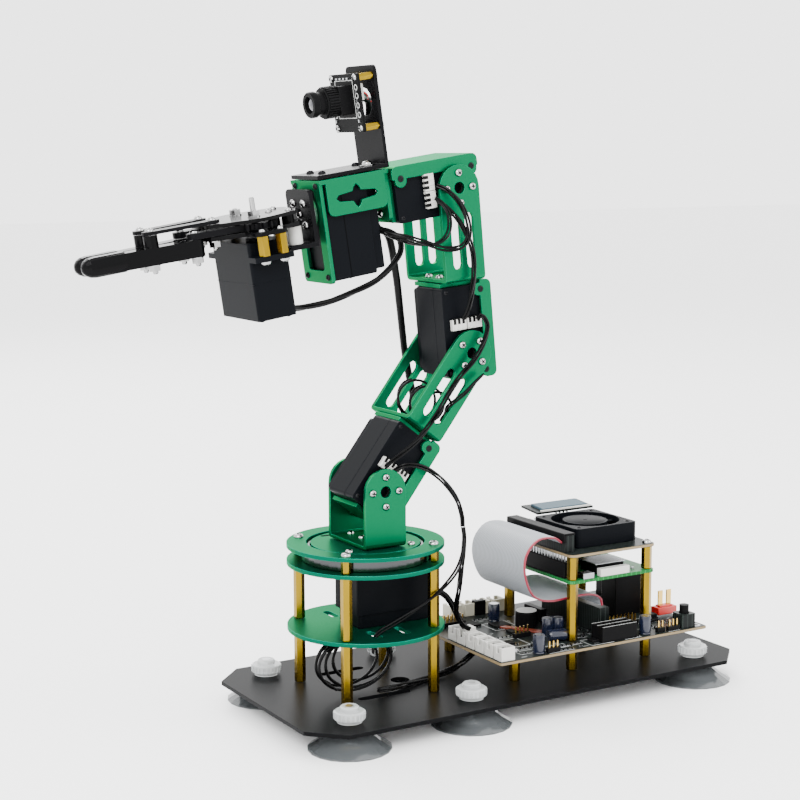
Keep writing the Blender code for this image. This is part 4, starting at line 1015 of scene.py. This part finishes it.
def make_chips(finishes):
    """Flat chips with their legs, small parts in rows, and printed outlines."""
    top = CONTROL_TOP
    chips, legs = [], []
    for x, y, a, b in ((90, 12, 9, 9), (73, -20, 7, 5), (84, -31, 5, 4), (116, -38.5, 6, 5),
                       (76, 20, 10, 7),
                       (143, -28, 8, 6), (88, -2.5, 4, 6), (166, -22, 7, 7)):
        chips.append(block((x, y, top + 0.75), (a, b, 1.2)))
        for side in (-1, 1):
            legs += [block((x - a / 2 + 0.8 + 1.2 * i, y + side * (b / 2 + 0.5), top + 0.2),
                           (0.45, 1.2, 0.3))
                     for i in range(int((a - 0.6) / 1.2) + 1)]
    piece("chips", joined(chips), TOWER, "root", finishes["chip"], 0.1)
    piece("chip_legs", joined(legs), TOWER, "root", finishes["solder"])
    small, pads, ink = [], [], []
    rows = [(64, -36, 9, "y"), (69, -30, 7, "x"), (84, -43.5, 6, "x"), (121, -43.4, 1, "x"),
            (64, 8, 9, "y"),
            (96, -37, 5, "x"), (70, -8, 6, "x"), (110, -12, 4, "y"), (162, -43.4, 3, "x"),
            (133, -43.2, 4, "x"),
            (172, -28, 5, "x"), (178, 10, 6, "y"), (84, 28, 6, "x"), (160, -34, 4, "y"),
            (112, -27.5, 3, "x")]
    for x, y, count, way in rows:
        for i in range(count):
            px, py = (x + 2.7 * i, y) if way == "x" else (x, y + 3.1 * i)
            small.append(block((px, py, top + 0.35), (1.0, 0.9, 0.6)))
            pads += [block((px + s * 0.75, py, top + 0.22), (0.5, 0.95, 0.42)) for s in (-1, 1)]
        reach = 2.7 * count if way == "x" else 3.1
        ink.append(block((x + reach / 2 - 1.4, y - 1.3, top + 0.03), (reach, 0.22, 0.06)))
    for x0, x1, y0, y1 in ((69, 99, -39, -33.5), (66, 84, -26, -12), (83, 98, 5, 19),
                           (110, 124, -44.5, -34)):
        ink += [box((x0, x1), (y, y + 0.25), (top, top + 0.06)) for y in (y0, y1)]
        ink += [box((x, x + 0.25), (y0, y1), (top, top + 0.06)) for x in (x0, x1)]
    chance = random.Random(11)
    for _ in range(90):
        x, y = chance.uniform(60, 184), chance.uniform(-44, 30)
        reach, width = chance.choice(((3.4, 0.22), (1.8, 0.24), (0.24, 2.6), (0.24, 1.4)))
        ink.append(block((x, y, top + 0.03), (reach, width, 0.06)))
    for _ in range(60):
        x, y = chance.uniform(62, 184), chance.uniform(-44, -16)
        small.append(block((x, y, top + 0.35), (1.0, 0.9, 0.6)))
        pads += [block((x + s * 0.75, y, top + 0.22), (0.5, 0.95, 0.42)) for s in (-1, 1)]
    piece("small_parts", joined(small), TOWER, "root", finishes["chip"])
    piece("small_part_pads", joined(pads), TOWER, "root", finishes["solder"])
    piece("board_marks", joined(ink), TOWER, "root", finishes["ink"])


def make_control_parts(finishes):
    """Jack, box headers, pin rows, power plug and the tall block under the computer."""
    top = CONTROL_TOP
    wells = [block((119.4 + 4.4 * i, y, top + 9), (3.4, 3.4, 6)) for i in range(5) for y in (-41.6, -36.8)]
    grid = cut(box((117, 139.6), (-44.2, -34.2), (top, top + 8.4)), *wells)
    piece("terminal_block", grid, TOWER, "root", finishes["socket"], 0.2)
    frame_lines = [box((117.1, 139.5), (y, y + 0.3), (top + 8.41, top + 8.46))
                   for y in (-44.1, -39.4, -34.6)]
    piece("terminal_block_lines", joined(frame_lines), TOWER, "root", finishes["ink"])
    blocks = [box((154, 175), (-7, 6), (top, top + 26)),
              box((90, 97), (36, 40), (top, top + 8)), box((113, 117), (6, 22), (top, top + 7)),
              box((164.5, 171), (-22.5, -17.5), (top, top + 3.4)),
              box((176, 183.4), (16, 40), (top, top + 9))]
    piece("board_blocks", joined(blocks), TOWER, "root", finishes["socket"], 0.35)
    strips, pins = [], []
    for x, y, columns, rows in ((86, -43.2, 3, 1), (157, -42.2, 2, 1), (165, -43, 3, 1), (68, 26, 6, 2),
                                (146, -22, 8, 2), (88, -12, 4, 1)):
        strip, pin = pin_header(columns, rows, 6.0)
        strips.append(moved(strip, (x, y, top)))
        pins.append(moved(pin, (x, y, top)))
    piece("header_strips", joined(strips), TOWER, "root", finishes["socket"], 0.1)
    piece("header_pins", joined(pins), TOWER, "root", finishes["gold"])
    mark = prism([(86, 9.5), (89, 10.5), (102.5, -10), (100, -13.5)], top + 0.05, top + 1.2)
    piece("orange_mark", mark, TOWER, "root", finishes["rust"], 0.2)
    lower = [box((173, 186), (-21, -14.6), (top + 1.4, top + 5.6)),
             box((175, 184), (-20, -15.6), (top + 5.6, top + 6.4))]
    piece("power_plug", joined(lower), TOWER, "root", finishes["red"], 0.5)
    tabs = [box((x - 1.5, x + 1.5), (-18.2, -17.4), (top + 6, top + 14.5)) for x in (176.6, 182.4)]
    piece("power_plug_tabs", joined(tabs), TOWER, "root", finishes["gold"])
    corners = [(x, y) for x in (56.5, 181.5) for y in (-41.6, 41.4)]
    posts = [prism(hexagon(c, 5.0), PLATE_TOP + 0.1, CONTROL_TOP - BOARD - 0.1)
             for c in ((70, -31.5), (70, 31), (181, 31))]
    piece("board_posts", joined(posts), TOWER, "root", finishes["brass"], 0.2)
    pads = [moved(turned([(1.7, 0), (2.9, 0), (2.9, 0.08), (1.7, 0.08), (1.7, 0)], 20),
                  (*c, top)) for c in corners]
    piece("corner_pads", joined(pads), TOWER, "root", finishes["solder"])
    places = [(x, y, top) for x, y in ((70, -31.5), (70, 31), (181, 31))]
    fasten("board_screws", LARGE_HEAD, places, (0, 0, 1), TOWER, "root", finishes)
    make_board_edges(finishes)


def make_board_edges(finishes):
    """The cut edge of each circuit board, a hair outside the board itself."""
    for name, node, low, high in (("control", "control_board", CONTROL_TOP - BOARD, CONTROL_TOP),
                                  ("cooling", "cooling_board", COOLING_TOP - BOARD, COOLING_TOP)):
        corner, far = [(c - TOWER.translation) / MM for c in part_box(node)]
        x, y, r = (corner.x, far.x), (corner.y, far.y), 3.0 if name == "cooling" else 1.0
        outer = rounded((x[0] - 0.12, x[1] + 0.12), (y[0] - 0.12, y[1] + 0.12), r)
        inner = rounded((x[0] + 0.3, x[1] - 0.3), (y[0] + 0.3, y[1] - 0.3), r)
        piece(name + "_board_edge", prism(outer, low + 0.15, high - 0.15, [inner]), TOWER, "root",
              finishes["board edge"])


def make_computer_parts(finishes):
    """Chips, ports' faces and the forty pins of the single-board computer, and the white flat plug."""
    top = COMPUTER_TOP
    chips = [block((128, 2, top + 1.0), (15, 15, 2.0)), block((140, -18, top + 0.7), (10, 12, 1.4)),
             block((118, 22, top + 0.7), (9, 9, 1.4))]
    piece("computer_chips", joined(chips), TOWER, "root", finishes["chip"], 0.2)
    shield = block((146, 10, top + 1.3), (12, 12, 2.6))
    piece("computer_shield", shield, TOWER, "root", finishes["steel"], 0.4)
    strip = block((106.2, -2.5, top + 4.3), (5.1, 51, 8.6))
    piece("computer_header", strip, TOWER, "root", finishes["socket"], 0.15)
    piece("computer_flat_plug", block((132, -33.0, top + 2.1), (19, 3.6, 4.2)), TOWER, "root",
          finishes["white"], 0.25)
    piece("computer_side_port", block((114.5, -32.4, top + 1.7), (7, 5.4, 3.2)), TOWER, "root",
          finishes["steel"], 0.3)
    piece("computer_cover", box((123, 143), (-29.5, -14), (top + 5.2, top + 5.8)), TOWER, "root",
          finishes["steel"], 0.1)
    piece("computer_slot", box((124, 142), (-29, -15), (top, top + 5.1)), TOWER, "root", finishes["socket"],
          0.2)
    # painted shade in the mouth of each port
    ports = [box((x0 + 0.7, x1 - 0.7), (52.0, 52.15), (top + 1.2, top + 12.8))
             for x0, x1 in ((104.5, 119.5), (122.5, 137.5), (140.5, 156.5))]
    piece("computer_port_mouth_shade", joined(ports), TOWER, "root", finishes["shadow"])
    shells = [box((x0 - 0.15, x1 + 0.15), (33.2, 51.9), (top + 0.3, top + 14.15))
              for x0, x1 in ((104.5, 119.5), (122.5, 137.5), (140.5, 156.5))]
    piece("computer_port_shells", joined(shells), TOWER, "root", finishes["steel"], 0.35)
    bits = [block((113 + 3.2 * i, -28.6, top + 0.5), (1.6, 0.9, 1.0)) for i in range(12)]
    bits += [block((112 + 3.4 * i, -12, top + 0.5), (0.9, 1.6, 1.0)) for i in range(3)]
    piece("computer_small_parts", joined(bits), TOWER, "root", finishes["solder"])


def make_cooling_parts(finishes):
    """Ribbon plug, pins under the cooling board, its screws, the fan's centre and the tilted display."""
    top = COOLING_TOP
    keys = [block((106.2, -2.5, top + 9.6), (6.6, 53.4, 1.2)),
            block((103.4, -2.5, top + 7.6), (1.6, 53.4, 5.0))]
    piece("ribbon_plug", joined(keys), TOWER, "root", finishes["socket"], 0.25)
    teeth = [block((109.5, -26.2 + 2.54 * i, top + 5.0), (0.5, 1.0, 8.0)) for i in range(20)]
    piece("ribbon_plug_ridges", joined(teeth), TOWER, "root", finishes["socket"])
    pins = [block((x, -26.6 + 2.54 * i, top - 4.0), (0.64, 0.64, 5.0)) for i in range(20)
            for x in (104.9, 107.4)]
    piece("cooling_pins", joined(pins), TOWER, "root", finishes["solder"])
    places = [(COLUMN_X[1], y, top) for y in COLUMN_Y]
    fasten("cooling_screws", LARGE_HEAD, places, (0, 0, 1), TOWER, "root", finishes)
    x, y = FAN_CENTRE
    hub_top = top + 10.4
    label = [(0, hub_top), (1.0, hub_top), (1.2, hub_top - 0.15), (10.8, hub_top - 0.15),
             (11.8, hub_top - 0.7),
             (11.8, hub_top - 1.2), (0, hub_top - 1.2)]
    piece("fan_cap", moved(turned(label, 36), (x, y, 0)), TOWER, "fan", finishes["case"])
    fan_top = top + 0.3 + 10.2
    corners = [(x + a, y + b, fan_top - 1.0) for a in (-16, 16) for b in (-16, 16)]
    fasten("fan_screws", (2.1, 1.3), corners, (0, 0, 1), TOWER, "root", finishes, "dark steel")
    tilt = Matrix.Translation(Vector((140, 29, top + 10.6)) * MM) @ Matrix.Rotation(radians(5), 4, "X")
    board = cut(block((0, 0, 0), (38, 16, 1.2)), block((0, 9.6, 0), (10, 4, 3)))
    piece("display_board", board, TOWER @ tilt, "root", finishes["black board"], 0.1)
    piece("display_glass", block((0.6, -0.6, 1.2), (30, 11.4, 1.3)), TOWER @ tilt, "root",
          finishes["glass"], 0.15)
    piece("display_edge", block((0.6, -7.2, 1.0), (34, 1.0, 0.9)), TOWER @ tilt, "root", finishes["white"],
          0.1)
    legs = [box((x, x + 0.7), (24.6, 25.3), (top, top + 9.6)) for x in (136, 138.5, 141, 143.5)]
    legs.append(box((134.6, 145.6), (23.9, 26.4), (top, top + 3.0)))
    piece("display_legs", joined(legs), TOWER, "root", finishes["socket"])


# ---------------------------------------------------------------- carried-over nodes

NODE_FINISH = {
    "base_plate": "plate", "servo_deck": "deck green", "bearing_deck": "deck green",
               "cover_ring": "deck green",
    "turntable_disc": "deck green", "palm_frame": "finger", "control_board": "black board",
    "camera_module": "socket", "bearing_outer_race": "race", "bearing_inner_race": "race",
}
SLOT_FINISH = {
    "foot_clear": "foot", "brass": "brass", "green_sheet": "green", "steel": "steel", "servo_black": "case",
    "black_sheet": "sheet", "finger_black": "finger", "board_black": "black board",
               "board_green": "green board",
    "ribbon_grey": "grey ribbon", "fan_black": "case", "button_white": "socket", "lead_black": "lead",
    "base_black": "plate",
}


def dress_nodes(finishes):
    """Each CAD node takes the finish of its material slot, or its own."""
    slots = {part["node"]: part["material_slot"] for part in frame["record"]["subparts"]}
    for name, thing in frame["nodes"].items():
        chosen = finishes[NODE_FINISH.get(name, SLOT_FINISH[slots[name]])]
        thing.data.materials.clear()
        thing.data.materials.append(chosen)


def main():
    make_camera()
    finishes = make_finishes()
    make_leads(finishes)
    make_stage()
    dress_nodes(finishes)
    make_fixed_leads(finishes)
    make_camera_lead(finishes)
    make_ears(finishes)
    make_servo_details(finishes)
    make_bracket_screws(finishes)
    make_tower(finishes)
    make_hand_nuts(finishes)
    make_wrist(finishes)
    make_camera_posts(finishes)
    make_camera_parts(finishes)
    make_hand(finishes)
    make_ribbon(finishes)
    make_sockets(finishes)
    make_round_parts(finishes)
    make_chips(finishes)
    make_control_parts(finishes)
    make_computer_parts(finishes)
    make_cooling_parts(finishes)
    bpy.context.view_layer.update()


main()
